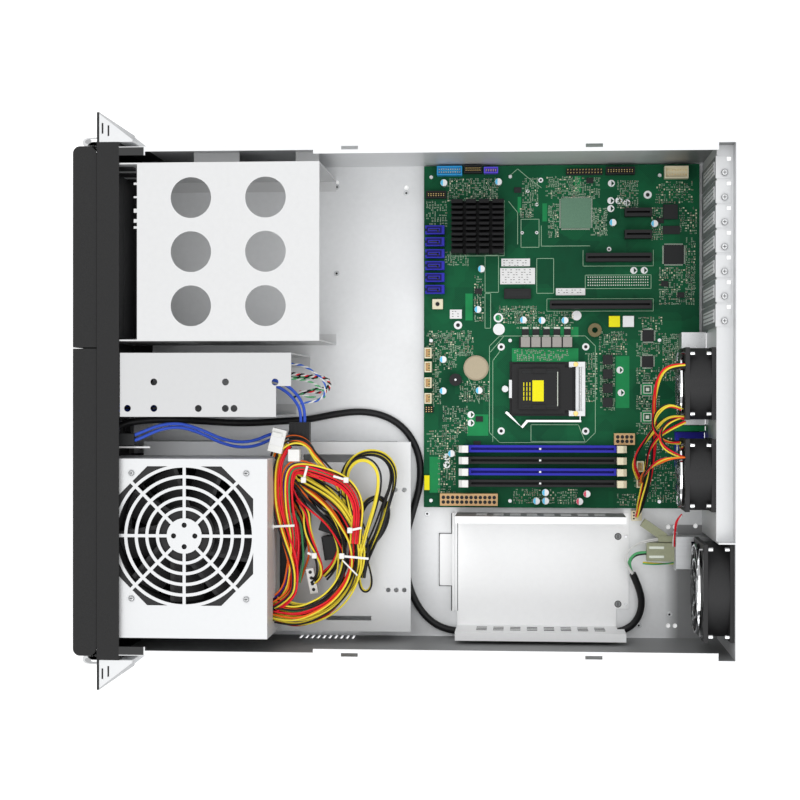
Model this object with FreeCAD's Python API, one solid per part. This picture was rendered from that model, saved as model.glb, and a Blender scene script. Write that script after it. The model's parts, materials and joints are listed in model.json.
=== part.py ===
"""A 3U rack server case, open at the top, with its board, power supply, fans and wiring.

Millimetres. The front faces -Y, +X is the right-hand side seen from the front, +Z is up.
The origin is the middle of the footprint, on the underside of the floor.
Every function below makes one sub-part and returns its solids.
"""
import FreeCAD, Part
import math
import os

V = FreeCAD.Vector

# ---- case ----------------------------------------------------------------------------------
CASE_WIDTH = 424.4          # over the side walls
CASE_HEIGHT = 132.0         # three rack units
CASE_DEPTH = 549.0          # front of the doors to the rear rim
SHEET = 1.2                 # folded steel
GAP = 0.3                   # working clearance
LIP = 7.3                   # flange along the top of each side wall
NARROW_LIP = 4.2            # the same flange beside the drive cage
NARROW_START, NARROW_LENGTH = 22.0, 141.0   # behind the front frame
LID_SLOT = (14.0, 3.0)      # hook slots for the lid, length and width
LID_SLOT_ROWS = (-42.0, 159.0)

# ---- front ---------------------------------------------------------------------------------
DOOR_DEPTH = 20.1
DOOR_GAP = 0.4              # between a closed door and the frame
DOOR_WALL = 2.0
DOOR_WIDTH_BOTH = 426.0
DOOR_SPLIT = -44.4          # where the two doors meet
DOOR_SPLIT_GAP = 1.0
DOOR_CORNER = 6.0
FRAME_WIDTH = 432.4
FRAME_DEPTH = 18.7
HINGE_INSET = 8.5           # hinge axis from the outer end of a door
HINGE_BACK = 9.6            # hinge axis from the back edge of a door
HINGE_PIN_R = 2.0
HINGE_PIN_CLEARANCE = 0.05
HINGE_TAB = (8.0, 2.5, 7.0)  # width, thickness, height above the door's skin
LOCK_R = 5.5
LOCK_FROM_SPLIT = 16.0
KEEPER_FROM_SPLIT = 5.0     # near end of a lock keeper
POWER_X, RESET_X, BUTTON_Z = 24.0, 38.0, 34.0
BUTTON_STROKE = 1.5
BUTTON_RELIEF = 0.1         # how far a button stands out of the front sheet
PORT_BLOCK = (22.5, 42.5)   # left and right of the front ports
PORT_BELOW_TOP = 21.0       # their middle, down from the rim

# ---- rack ears and handles -------------------------------------------------------------------
EAR_REACH = 25.1            # out from the front frame
RACK_WIDTH = FRAME_WIDTH + 2 * EAR_REACH
EAR_THICKNESS = 2.0
EAR_DEPTH = 30.0
EAR_HOLE_SPACING_X = RACK_WIDTH - 17.5
EAR_HOLE_SPACING_Z = 57.15
EAR_HOLE_R = 3.4
EAR_HOLE_LENGTH = 10.3
HANDLE_R = 3.5
HANDLE_HEIGHT = 80.0

# ---- rear ----------------------------------------------------------------------------------
RECESS_DEPTH = 14.7         # rear rim to the face that carries the slot covers
RECESS_END = 115.0          # where the rear wall steps back out
SLOT_SHELF_Z = CASE_HEIGHT - 17.0
SLOT_COUNT = 7
SLOT_PITCH = 20.32
FIRST_SLOT_X = -192.9
SLOT_OPENING = (12.4, 14.0, SLOT_SHELF_Z - 9.0)   # width, bottom, top
COVER_WIDTH = 18.4
COVER_THICKNESS = 0.9
IO_OPENING = (158.75, 44.45)
IO_LEFT = -68.9
FAN_DEPTH = 25.0
SMALL_FAN = 60.0
SMALL_FAN_X = (-14.9, 61.2)
SMALL_FAN_Z = CASE_HEIGHT - 48.5
LARGE_FAN = 80.0
LARGE_FAN_X = 157.0
LARGE_FAN_Z = CASE_HEIGHT - 45.0
SMALL_BORE, LARGE_BORE, PSU_BORE = 28.6, 38.0, 57.5
HUB_SHARE = 0.44            # hub radius as a share of the bore
TIP_GAP = 1.0
GUARD_WIRE = 1.5
INLET_X = 132.0
INLET_Z = 24.0
INLET_CAN = (28.0, 40.0, 24.0)    # width, depth, height
BOOT_LENGTH = 24.3

# ---- drive cage and drive bracket ------------------------------------------------------------
CAGE_LEFT = -198.9
CAGE_WIDTH = 148.7
CAGE_TOP = CASE_HEIGHT - 1.8
CAGE_PLATE = (-220.4, 153.1)      # front edge and length of the top plate
CAGE_HOLE_R = 17.0
CAGE_HOLE_X = (-169.5, -124.5, -79.4)
CAGE_HOLE_Y = (-174.9, -112.3)
BAY_FLOOR = 4.0
BAY_HEIGHT = (CASE_HEIGHT - 2 * BAY_FLOOR - 0.1) / 3
BRACKET_LEFT = -40.3
BRACKET_WIDTH = 53.3
BRACKET_LENGTH = 144.0
BRACKET_NOTCH = (25.7, 12.6)
BRACKET_HOLE_R = 2.9
FOOT = 10.0                       # width of a folded foot

# ---- power supply --------------------------------------------------------------------------
PSU_WIDTH = 150.0
PSU_DEPTH = 140.0
PSU_HEIGHT = 86.0
PSU_LEFT = 48.2
PSU_FAN_OFFSET = -10.6            # fan centre from the middle of the case
PSU_FAN = 120.0
PSU_SKIN = 1.0
GRILLE_HUB_R = 14.8
GRILLE_RING_R = (22.7, 31.6, 40.6, 49.5, 58.5)
GRILLE_BAR = 2.6
GRILLE_FLAT = 58.2                # centre to the flats of the outer cut-out
GRILLE_CHAMFER = 63.3             # centre to its corners
SHELF_TOP = CASE_HEIGHT - PSU_HEIGHT - 6.0
SHELF_LEFT = 36.0
SHELF_WIDTH = 166.7
SHELF_REAR = 2.7
HARNESS_X = 178.0           # where the wires leave the supply

# ---- disk tray -----------------------------------------------------------------------------
TRAY_LEFT = 100.0
TRAY_WIDTH = 102.0
TRAY_FRONT = 42.0
TRAY_LENGTH = 148.0
TRAY_HEIGHT = 52.0
TRAY_FLANGE = 6.0

# ---- board ---------------------------------------------------------------------------------
BOARD_LEFT = -210.0
BOARD_SIZE = (305.0, 244.0)
BOARD_FRONT = 12.4
BOARD_THICKNESS = 1.6
STANDOFF = 6.3
DIMM_PITCH = 10.2
DIMM_FIRST_X = 42.3
DIMM_FRONT = 53.0
DIMM_LENGTH = 130.0
DIMM_WIDTH = 6.2
DIMM_HEIGHT = 9.5
LATCH_REACH, LATCH_HEIGHT = 8.6, 22.0
LATCH_PIVOT = (2.0, 3.5)          # out from the slot's end, up from the board
SOCKET_X, SOCKET_Y = -10.8, 119.0
SOCKET_SIZE = 42.0
COOLER_PITCH = 75.0
HINGE_Y, HINGE_UP = SOCKET_Y + 27.0, 4.6
LEVER_Y, LEVER_UP = SOCKET_Y + 32.5, 3.4
LEVER_R = 1.0

# ---- cords -----------------------------------------------------------------------------------
LEAD_R = 3.15
CORE_R = 1.2
USB_R = 2.9
PANEL_WIRE_R = 2.0
SPARE_WIRE_R, HEADER_WIRE_R = 1.8, 1.6
USB_PLUG = (18.0, 38.2, -98.0, -80.5, 80.0, 91.0)
LEAD_END = ((165.0, 203.5, 15.0), (152.0, 197.5, 19.0))

# ---- values that follow from those above -------------------------------------------------------
HALF = CASE_WIDTH / 2
FRONT = -CASE_DEPTH / 2
REAR = CASE_DEPTH / 2
DOOR_BACK = FRONT + DOOR_DEPTH
FRAME_FRONT = DOOR_BACK + DOOR_GAP
FRAME_BACK = FRAME_FRONT + FRAME_DEPTH
INSIDE = FRAME_FRONT + SHEET               # inner face of the front sheet
WALL_IN = HALF - SHEET
RECESS = REAR - RECESS_DEPTH
CAGE_RIGHT = CAGE_LEFT + CAGE_WIDTH
BRACKET_RIGHT = BRACKET_LEFT + BRACKET_WIDTH
PSU_RIGHT = PSU_LEFT + PSU_WIDTH
PSU_FRONT = INSIDE + 1.5
PSU_REAR = PSU_FRONT + PSU_DEPTH
PSU_TOP = SHELF_TOP + PSU_HEIGHT
PSU_FAN_X = PSU_LEFT + PSU_WIDTH / 2 + PSU_FAN_OFFSET
PSU_FAN_Y = PSU_FRONT + PSU_DEPTH / 2
SHELF_RIGHT = SHELF_LEFT + SHELF_WIDTH
TRAY_RIGHT = TRAY_LEFT + TRAY_WIDTH
TRAY_REAR = TRAY_FRONT + TRAY_LENGTH
BOARD_UNDER = SHEET + STANDOFF
BOARD_TOP = BOARD_UNDER + BOARD_THICKNESS
BOARD_RIGHT = BOARD_LEFT + BOARD_SIZE[0]
BOARD_REAR = BOARD_FRONT + BOARD_SIZE[1]
COVER_FACE = RECESS - COVER_THICKNESS
DIMM_REAR = DIMM_FRONT + DIMM_LENGTH
HOLE_X = (BOARD_LEFT + 10, BOARD_LEFT + 156, BOARD_RIGHT - 6)
HOLE_Y = (BOARD_FRONT + 6.5, BOARD_FRONT + 77, BOARD_REAR - 35)
PORT_Z = CASE_HEIGHT - PORT_BELOW_TOP
PSU_FAN_LOW = PSU_TOP - PSU_SKIN - FAN_DEPTH
HARNESS_LOW, HARNESS_HIGH = SHELF_TOP + GAP, SHELF_TOP + 50.0
PLUG_X, PLUG_Z = PSU_LEFT + 27.5, SHELF_TOP + 36.0
PLUG_FACE = PSU_FRONT - GAP
LEAD_Y = PLUG_FACE - 10.5
LEAD_REST = SHEET + LEAD_R + GAP
BOOT_REAR = REAR - SHEET - INLET_CAN[1]
BOOT_FRONT = BOOT_REAR - BOOT_LENGTH
AXES = {"x": V(1, 0, 0), "y": V(0, 1, 0), "z": V(0, 0, 1)}


# ---- shared shapes -------------------------------------------------------------------------
def block(x0, x1, y0, y1, z0, z1):
    """A square-edged block between two corners."""
    return Part.makeBox(x1 - x0, y1 - y0, z1 - z0, V(x0, y0, z0))


def rod(radius, x, y, z, length, axis="z"):
    """A round bar that starts at a point and runs along an axis."""
    return Part.makeCylinder(radius, length, V(x, y, z), AXES[axis])


def polygon(points, z):
    """A closed straight-sided wire in plan."""
    corners = [V(x, y, z) for x, y in points]
    return Part.makePolygon(corners + corners[:1])


def prism(points, z0, z1):
    """A plan outline raised from z0 to z1."""
    return Part.Face(polygon(points, z0)).extrude(V(0, 0, z1 - z0))


def profile(points, y0, y1):
    """A section in X and Z drawn out along Y."""
    corners = [V(x, y0, z) for x, z in points]
    return Part.Face(Part.makePolygon(corners + corners[:1])).extrude(V(0, y1 - y0, 0))


def join(shapes):
    """One solid from shapes that touch or cross."""
    return shapes[0].multiFuse(shapes[1:]).removeSplitter()


def cut(shape, tools):
    """The shape less every tool."""
    return shape.cut(tools).removeSplitter()


def hexagon(across, x, y, z, height):
    """A hexagonal screw head."""
    points = [(x + across / math.sqrt(3) * math.cos(math.radians(60 * i)),
               y + across / math.sqrt(3) * math.sin(math.radians(60 * i))) for i in range(6)]
    return prism(points, z, z + height)


def tube(points, radius):
    """A round cord or bar: straight runs joined by arcs as large as the runs allow."""
    knots = [V(*point) for point in points]
    edges = []
    start = knots[0]
    for before, here, after in zip(knots, knots[1:], knots[2:]):
        arriving, leaving = here - before, after - here
        reach = 0.45 * min(arriving.Length, leaving.Length)
        turn = arriving.getAngle(leaving)
        bend = reach / math.tan(turn / 2)
        back = here - V(arriving).normalize() * reach
        ahead = here + V(leaving).normalize() * reach
        inward = (back + ahead - here * 2).normalize()
        middle = here + inward * (bend / math.cos(turn / 2) - bend)
        edges += [Part.LineSegment(start, back).toShape(), Part.Arc(back, middle, ahead).toShape()]
        start = ahead
    edges.append(Part.LineSegment(start, knots[-1]).toShape())
    rim = Part.Wire(Part.Circle(knots[0], knots[1] - knots[0], radius).toShape())
    return Part.Wire(edges).makePipeShell([rim], True, False)


# ---- case ----------------------------------------------------------------------------------
def chassis_base():
    """Floor, side walls and top lips, folded from one sheet."""
    shelf = HALF - LIP
    section = [(-HALF, 0), (HALF, 0), (HALF, CASE_HEIGHT), (shelf, CASE_HEIGHT), (shelf, CASE_HEIGHT - SHEET),
               (WALL_IN, CASE_HEIGHT - SHEET), (WALL_IN, SHEET), (-WALL_IN, SHEET),
               (-WALL_IN, CASE_HEIGHT - SHEET), (-shelf, CASE_HEIGHT - SHEET), (-shelf, CASE_HEIGHT),
               (-HALF, CASE_HEIGHT)]
    base = profile(section, FRAME_BACK, REAR - SHEET)
    narrow = FRAME_BACK + NARROW_START
    lip_z = (CASE_HEIGHT - SHEET - 1, CASE_HEIGHT + 1)
    tools = [block(-WALL_IN, RECESS_END + SHEET, RECESS, REAR, -1, SHEET + 1)]
    for side in (-1, 1):
        inner, outer = sorted((side * (shelf - 1), side * (HALF - NARROW_LIP)))
        tools.append(block(inner, outer, narrow, narrow + NARROW_LENGTH, *lip_z))
        inner, outer = sorted((side * (shelf - 1), side * WALL_IN))
        tools.append(block(inner, outer, RECESS, REAR, *lip_z))
        middle = side * (WALL_IN - LID_SLOT[1] / 2)
        for y in LID_SLOT_ROWS:
            tools.append(block(middle - LID_SLOT[1] / 2, middle + LID_SLOT[1] / 2,
                               y - LID_SLOT[0] / 2, y + LID_SLOT[0] / 2, *lip_z))
    tools += [block(WALL_IN - 1, HALF + 1, y, y + 2.2, 6, 26) for y in (-98 + 5.2 * i for i in range(10))]
    tools += [rod(2, x, y, -1, SHEET + 2) for x, y in
              ((-197, -67), (-114, -67), (-192, -4), (112, 230), (112, 236), (111, 254), (200, 230), (200, 236))]
    return [cut(base, tools)]


def rear_panel():
    """Rear wall: recessed behind the board, with the slot shelf, and flush beside it."""
    step = RECESS_END + SHEET
    wall = join([
        block(-WALL_IN, step, RECESS, RECESS + SHEET, 0, SLOT_SHELF_Z),
        block(-WALL_IN, step, RECESS, REAR, SLOT_SHELF_Z - SHEET, SLOT_SHELF_Z),
        block(-WALL_IN, step, REAR - SHEET, REAR, SLOT_SHELF_Z - SHEET, CASE_HEIGHT),
        block(RECESS_END, step, RECESS, REAR, 0, CASE_HEIGHT),
        block(RECESS_END, WALL_IN, REAR - SHEET, REAR, 0, CASE_HEIGHT)])
    width, low, high = SLOT_OPENING
    tools = []
    for i in range(SLOT_COUNT):
        x = FIRST_SLOT_X + i * SLOT_PITCH
        tools.append(block(x - width / 2, x + width / 2, RECESS - 1, RECESS + SHEET + 1, low, high))
        tools.append(block(x - 8.5, x - 5.5, REAR - 6.5, REAR - 3.0, SLOT_SHELF_Z - 2, SLOT_SHELF_Z + 1))
    io_low = BOARD_TOP - 2.2
    tools.append(block(IO_LEFT, IO_LEFT + IO_OPENING[0], RECESS - 1, RECESS + SHEET + 1,
                       io_low, io_low + IO_OPENING[1]))
    for x in SMALL_FAN_X:
        tools += fan_slots(x, RECESS, SMALL_FAN_Z, SMALL_FAN, 5)
    tools += fan_slots(LARGE_FAN_X, REAR - SHEET, LARGE_FAN_Z, LARGE_FAN, 7)
    tools.append(block(INLET_X - 12, INLET_X + 12, REAR - 2, REAR + 1, INLET_Z - 8, INLET_Z + 8))
    return [cut(wall, tools)]


def fan_slots(x, y, z, size, count):
    """Level slots punched in the rear wall, clipped to the fan's round mouth."""
    reach = size / 2 - 3
    mouth = rod(reach, x, y - 1, z, SHEET + 2, "y")
    pitch = 2 * reach / count
    bars = [block(x - size, x + size, y - 2, y + SHEET + 2, z - reach + i * pitch - 1, z - reach + i * pitch + 1)
            for i in range(1, count)]
    return mouth.cut(bars).Solids


def slot_covers():
    """Vented blanking covers, each with a tab bent back over the slot shelf."""
    covers = []
    for i in range(SLOT_COUNT):
        x = FIRST_SLOT_X + i * SLOT_PITCH
        blade = block(x - COVER_WIDTH / 2, x + COVER_WIDTH / 2, COVER_FACE, RECESS, 6, SLOT_SHELF_Z)
        tab = block(x - COVER_WIDTH / 2, x + COVER_WIDTH / 2, COVER_FACE, REAR - SHEET - 2,
                    SLOT_SHELF_Z, SLOT_SHELF_Z + COVER_THICKNESS)
        notch = block(x - 9.3, x - 5.4, REAR - 7.0, REAR, SLOT_SHELF_Z - 1, SLOT_SHELF_Z + 3)
        vents = [block(x - 4.2, x + 4.2, COVER_FACE - 1, RECESS + 1, z, z + 7) for z in range(30, 100, 14)]
        covers.append(cut(join([blade, tab]), [notch] + vents))
    return covers


def screws_and_studs():
    """Screws on the slot tabs, the tray, the power supply's fan and the board, with the board's studs."""
    heads = [hexagon(3.2, FIRST_SLOT_X + i * SLOT_PITCH + 4.6, RECESS + 6.2,
                     SLOT_SHELF_Z + COVER_THICKNESS, 2.2) for i in range(SLOT_COUNT)]
    tray_floor = 2 * SHEET
    heads += [hexagon(2.6, x, TRAY_REAR + 2.5, tray_floor, 1.8) for x in (TRAY_LEFT + 20.7, TRAY_RIGHT - 21)]
    pitch = 52.5
    heads += [hexagon(2.6, PSU_FAN_X + dx, PSU_FAN_Y + dy, PSU_TOP, 1.0)
              for dx in (-pitch, pitch) for dy in (-pitch + 8, pitch)]
    places = [(x, y) for x in HOLE_X for y in HOLE_Y]
    heads += [hexagon(3.0, x, y, BOARD_TOP, 1.6) for x, y in places]
    return heads + [hexagon(2.8, x, y, SHEET, STANDOFF) for x, y in places]


# ---- front ---------------------------------------------------------------------------------
def hinge_axis(side):
    """Plan position of a door's hinge pins."""
    return side * (DOOR_WIDTH_BOTH / 2 - HINGE_INSET), DOOR_BACK - HINGE_BACK


def front_frame():
    """Dark steel front: sheet, folded rim, hinge tabs and lock keepers."""
    half = FRAME_WIDTH / 2
    rim = block(-half, half, FRAME_FRONT, FRAME_BACK, 0, CASE_HEIGHT)
    inside = block(-WALL_IN, WALL_IN, INSIDE, FRAME_BACK + 1, SHEET, CASE_HEIGHT - SHEET)
    bays = block(CAGE_LEFT + SHEET, CAGE_RIGHT - SHEET, FRAME_FRONT - 1, INSIDE + 1,
                 BAY_FLOOR, BAY_FLOOR + 3 * BAY_HEIGHT)
    inlet = block(9, PSU_LEFT + 52, FRAME_FRONT - 1, INSIDE + 1, SHELF_TOP + 16, SHELF_TOP + 54)
    ports = block(PORT_BLOCK[0] - 0.5, PORT_BLOCK[1] + 0.5, FRAME_FRONT - 1, INSIDE + 1, PORT_Z - 6, PORT_Z + 6)
    vents = [block(x, x + 4, FRAME_FRONT - 1, INSIDE + 1, 16, 110) for x in (-34, -26, -18)]
    vents += [block(x, x + 4, FRAME_FRONT - 1, INSIDE + 1, SHELF_TOP + 12, PSU_TOP - 12)
              for x in range(114, 194, 10)]
    button_holes = [rod(6.3, POWER_X, FRAME_FRONT - 1, BUTTON_Z, SHEET + 2, "y"),
                    rod(3.3, RESET_X, FRAME_FRONT - 1, BUTTON_Z, SHEET + 2, "y")]
    frame = cut(rim, [inside, bays, inlet, ports] + vents + button_holes)
    extras, keepers = [], []
    width, thick, height = HINGE_TAB
    for side in (-1, 1):
        x, y = hinge_axis(side)
        for z in (1 + DOOR_WALL + height, CASE_HEIGHT - 1 - DOOR_WALL - height - thick):
            tab = join([block(x - width / 2, x + width / 2, y, FRAME_FRONT, z, z + thick),
                        rod(width / 2, x, y, z, thick)])
            extras.append(tab.cut(rod(HINGE_PIN_R + HINGE_PIN_CLEARANCE, x, y, z - 1, thick + 2)))
        lock_x = DOOR_SPLIT + side * LOCK_FROM_SPLIT
        near, far = sorted((DOOR_SPLIT + side * KEEPER_FROM_SPLIT, lock_x + side * 5))
        z = CASE_HEIGHT / 2 + 8
        keepers.append(join([
            block(lock_x - 5, lock_x + 5, DOOR_BACK - 6.5, DOOR_BACK - 5.5, z, z + 9),
            block(near, far, DOOR_BACK - 6.5, FRAME_FRONT, z + 8, z + 9)]))
    return [join([frame] + extras)] + keepers


def door(side):
    """A hollow door on vertical pins at its outer end, open at the back."""
    sign = side
    outer = DOOR_WIDTH_BOTH / 2
    inner = sign * DOOR_SPLIT + DOOR_SPLIT_GAP / 2
    hinge_x, hinge_y = DOOR_WIDTH_BOTH / 2 - HINGE_INSET, DOOR_BACK - HINGE_BACK
    rise = math.sqrt(HINGE_BACK ** 2 - HINGE_INSET ** 2)
    slant = HINGE_BACK / math.sqrt(2)

    def outline(inset):
        """Plan of the door's skin, drawn in by its wall on the front and both ends."""
        corner = DOOR_CORNER - inset
        end, front = outer - inset, FRONT + inset
        cut_in = DOOR_CORNER * (1 - 1 / math.sqrt(2)) + inset / math.sqrt(2)
        arc = Part.Arc(V(end - corner, front, 0), V(outer - cut_in, FRONT + cut_in, 0), V(end, front + corner, 0))
        return arc, end, front

    arc, end, front = outline(0)
    back_arc = Part.Arc(V(end, hinge_y + rise, 0), V(hinge_x + slant, hinge_y + slant, 0), V(hinge_x, DOOR_BACK, 0))
    plan = Part.Wire([
        Part.LineSegment(V(inner, front, 0), arc.StartPoint).toShape(), arc.toShape(),
        Part.LineSegment(arc.EndPoint, back_arc.StartPoint).toShape(), back_arc.toShape(),
        Part.LineSegment(back_arc.EndPoint, V(inner, DOOR_BACK, 0)).toShape(),
        Part.LineSegment(V(inner, DOOR_BACK, 0), V(inner, front, 0)).toShape()])
    low, high = 1.0, CASE_HEIGHT - 1.0
    body = Part.Face(plan).extrude(V(0, 0, high - low)).translated(V(0, 0, low))
    hollow_arc, hollow_end, hollow_front = outline(DOOR_WALL)
    reach = outer + 5
    hollow = Part.Wire([
        Part.LineSegment(V(inner + DOOR_WALL, hollow_front, 0), hollow_arc.StartPoint).toShape(),
        hollow_arc.toShape(),
        Part.LineSegment(hollow_arc.EndPoint, V(reach, FRONT + DOOR_CORNER, 0)).toShape(),
        Part.LineSegment(V(reach, FRONT + DOOR_CORNER, 0), V(reach, DOOR_BACK + 5, 0)).toShape(),
        Part.LineSegment(V(reach, DOOR_BACK + 5, 0), V(inner + DOOR_WALL, DOOR_BACK + 5, 0)).toShape(),
        Part.LineSegment(V(inner + DOOR_WALL, DOOR_BACK + 5, 0),
                         V(inner + DOOR_WALL, hollow_front, 0)).toShape()])
    room = Part.Face(hollow).extrude(V(0, 0, high - low - 2 * DOOR_WALL)).translated(V(0, 0, low + DOOR_WALL))
    lock_x = sign * DOOR_SPLIT + LOCK_FROM_SPLIT
    tools = [room, rod(LOCK_R + GAP, lock_x, FRONT - 1, CASE_HEIGHT / 2, DOOR_WALL + 2, "y")]
    tools += [block(x, x + 4, FRONT - 1, FRONT + DOOR_WALL + 1, z, z + 38)
              for x in [inner + 44 + 11 * i for i in range(9)] for z in (24, 70)]
    body = cut(body, tools)
    pin = HINGE_TAB[1] + HINGE_TAB[2] + 1
    pins = [rod(HINGE_PIN_R, hinge_x, hinge_y, low + DOOR_WALL, pin),
            rod(HINGE_PIN_R, hinge_x, hinge_y, high - DOOR_WALL - pin, pin)]
    solid = join([body] + pins)
    return [solid if sign > 0 else solid.mirror(V(0, 0, 0), V(1, 0, 0))]


def door_lock(side):
    """A cam lock: barrel through the door's skin and a tongue that turns up behind its keeper."""
    x = DOOR_SPLIT + side * LOCK_FROM_SPLIT
    z = CASE_HEIGHT / 2
    barrel = rod(LOCK_R, x, FRONT, z, DOOR_DEPTH - 4.5, "y")
    key_slot = block(x - 0.6, x + 0.6, FRONT - 1, FRONT + 4, z - 2.6, z + 2.6)
    back = FRONT + DOOR_DEPTH - 4.5
    tongue = block(min(x, x + side * 14), max(x, x + side * 14), back, back + 1.5, z - 3.5, z + 3.5)
    return [join([barrel.cut(key_slot), tongue])]


def bay_covers():
    """Blank covers of the three drive bays, with snap-in side arms."""
    covers = []
    left, right = CAGE_LEFT + SHEET + GAP, CAGE_RIGHT - SHEET - GAP
    for i in range(3):
        low = BAY_FLOOR + i * BAY_HEIGHT + GAP
        high = BAY_FLOOR + (i + 1) * BAY_HEIGHT - GAP
        plate = block(left, right, FRAME_FRONT, INSIDE + 1.3, low, high)
        arms = [block(x, x + 1.5, INSIDE, INSIDE + 26, low + 12, high - 12) for x in (left, right - 1.5)]
        recess = block(left + 8, right - 8, FRAME_FRONT - 1, FRAME_FRONT + 1, low + 6, high - 6)
        covers.append(cut(join([plate] + arms), [recess]))
    return covers


def button(x, radius):
    """A push button, nearly flush, with a collar behind the front sheet."""
    cap = rod(radius, x, FRAME_FRONT - BUTTON_RELIEF, BUTTON_Z, BUTTON_RELIEF + SHEET + 6, "y")
    collar = rod(radius + 2, x, INSIDE + GAP, BUTTON_Z, 1.5, "y")
    return [join([cap, collar])]


def front_ports():
    """Twin port block behind the front sheet, on its small bracket."""
    left, right = PORT_BLOCK
    shell = block(left, right, FRAME_FRONT, INSIDE + 12, PORT_Z - 5.5, PORT_Z + 5.5)
    sockets = [block(x, x + 4.5, FRAME_FRONT - 1, INSIDE + 8, PORT_Z - 4, PORT_Z + 4)
               for x in (left + 2.5, right - 7)]
    bracket = block(left - 4.5, right + 4.5, INSIDE, INSIDE + 1, PORT_Z - 13, PORT_Z + 13)
    return [cut(join([shell, bracket]), sockets)]


def rack_ears():
    """Two rack flanges with a side leg and triangular gussets at top and bottom."""
    ears = []
    half, tip = FRAME_WIDTH / 2, RACK_WIDTH / 2
    face = FRAME_FRONT
    back = face + EAR_DEPTH
    flange = block(half, tip, face, face + EAR_THICKNESS, 0.4, CASE_HEIGHT - 0.4)
    leg = block(half, half + EAR_THICKNESS, face, back, 0.4, CASE_HEIGHT - 0.4)
    corners = [(half, face), (tip, face), (half + EAR_THICKNESS, back), (half, back)]
    gussets = [prism(corners, z, z + EAR_THICKNESS) for z in (0.4, CASE_HEIGHT - 0.4 - EAR_THICKNESS)]
    slots = [block(half + 7, half + 16, face + 4, face + 5.5, -1, CASE_HEIGHT + 1),
             block(half + 5, half + 14, face + 9, face + 10.5, -1, CASE_HEIGHT + 1)]
    ear = cut(join([flange, leg] + gussets), slots)
    straight = EAR_HOLE_LENGTH / 2 - EAR_HOLE_R
    x = EAR_HOLE_SPACING_X / 2
    for z in (CASE_HEIGHT / 2 - EAR_HOLE_SPACING_Z / 2, CASE_HEIGHT / 2 + EAR_HOLE_SPACING_Z / 2):
        hole = join([rod(EAR_HOLE_R, x - straight, face - 1, z, EAR_THICKNESS + 2, "y"),
                     rod(EAR_HOLE_R, x + straight, face - 1, z, EAR_THICKNESS + 2, "y"),
                     block(x - straight, x + straight, face - 1, face + EAR_THICKNESS + 1,
                           z - EAR_HOLE_R, z + EAR_HOLE_R)])
        ear = ear.cut(hole)
    ears += [ear, ear.mirror(V(0, 0, 0), V(1, 0, 0))]
    return ears


def handles():
    """Two bent-rod handles standing out of the rack ears."""
    x = FRAME_WIDTH / 2 + 0.8 + HANDLE_R
    low, high = (CASE_HEIGHT - HANDLE_HEIGHT) / 2, (CASE_HEIGHT + HANDLE_HEIGHT) / 2
    grip = FRONT + HANDLE_R
    handle = tube([(x, FRAME_FRONT, low), (x, grip, low), (x, grip, high), (x, FRAME_FRONT, high)], HANDLE_R)
    return [handle, handle.mirror(V(0, 0, 0), V(1, 0, 0))]


# ---- drive carriers --------------------------------------------------------------------------
def drive_cage():
    """Inverted steel trough over three drive bays, with six round holes in its top."""
    front, length = CAGE_PLATE
    rear = front + length
    parts = [block(CAGE_LEFT, CAGE_RIGHT, front, rear, CAGE_TOP - SHEET, CAGE_TOP)]
    for x, foot in ((CAGE_LEFT, CAGE_LEFT), (CAGE_RIGHT - SHEET, CAGE_RIGHT - FOOT)):
        parts.append(block(x, x + SHEET, INSIDE, rear, SHEET, CAGE_TOP))
        parts.append(block(foot, foot + FOOT, front, rear, SHEET, 2 * SHEET))
    tools = [rod(CAGE_HOLE_R, x, y, CAGE_TOP - 2, 4) for x in CAGE_HOLE_X for y in CAGE_HOLE_Y]
    tools += [block(CAGE_LEFT - 1, CAGE_RIGHT + 1, y, y + 22, z, z + 4)
              for z in (BAY_FLOOR + i * BAY_HEIGHT + 9 for i in range(3)) for y in (front + 20, front + 99)]
    return [cut(join(parts), tools)]


def hard_drive_bracket():
    """Inverted trough that holds two drives on edge, notched at its rear corner."""
    front = FRAME_BACK + 0.5
    rear = front + BRACKET_LENGTH
    notch_x, notch_y = BRACKET_RIGHT - BRACKET_NOTCH[0], rear - BRACKET_NOTCH[1]
    parts = [block(BRACKET_LEFT, BRACKET_RIGHT, front, rear, CAGE_TOP - SHEET, CAGE_TOP),
             block(BRACKET_LEFT, BRACKET_LEFT + SHEET, front, rear, SHEET, CAGE_TOP),
             block(BRACKET_RIGHT - SHEET, BRACKET_RIGHT, front, notch_y, SHEET, CAGE_TOP),
             block(BRACKET_LEFT, BRACKET_LEFT + FOOT, front, rear, SHEET, 2 * SHEET),
             block(BRACKET_RIGHT - FOOT, BRACKET_RIGHT, front, notch_y, SHEET, 2 * SHEET)]
    tools = [block(notch_x, BRACKET_RIGHT + 1, notch_y, rear + 1, CAGE_TOP - 2, CAGE_TOP + 1)]
    row_one, row_two = BRACKET_RIGHT - 29.0, BRACKET_RIGHT - 7.0
    for x, offsets in ((row_one, (28.7, 89.0, 130.6)), (row_two, (6.4, 28.7, 66.2, 88.9, 96.2))):
        tools += [rod(BRACKET_HOLE_R, x, front + offset, CAGE_TOP - 2, 4) for offset in offsets]
    return [cut(join(parts), tools)]


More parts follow.
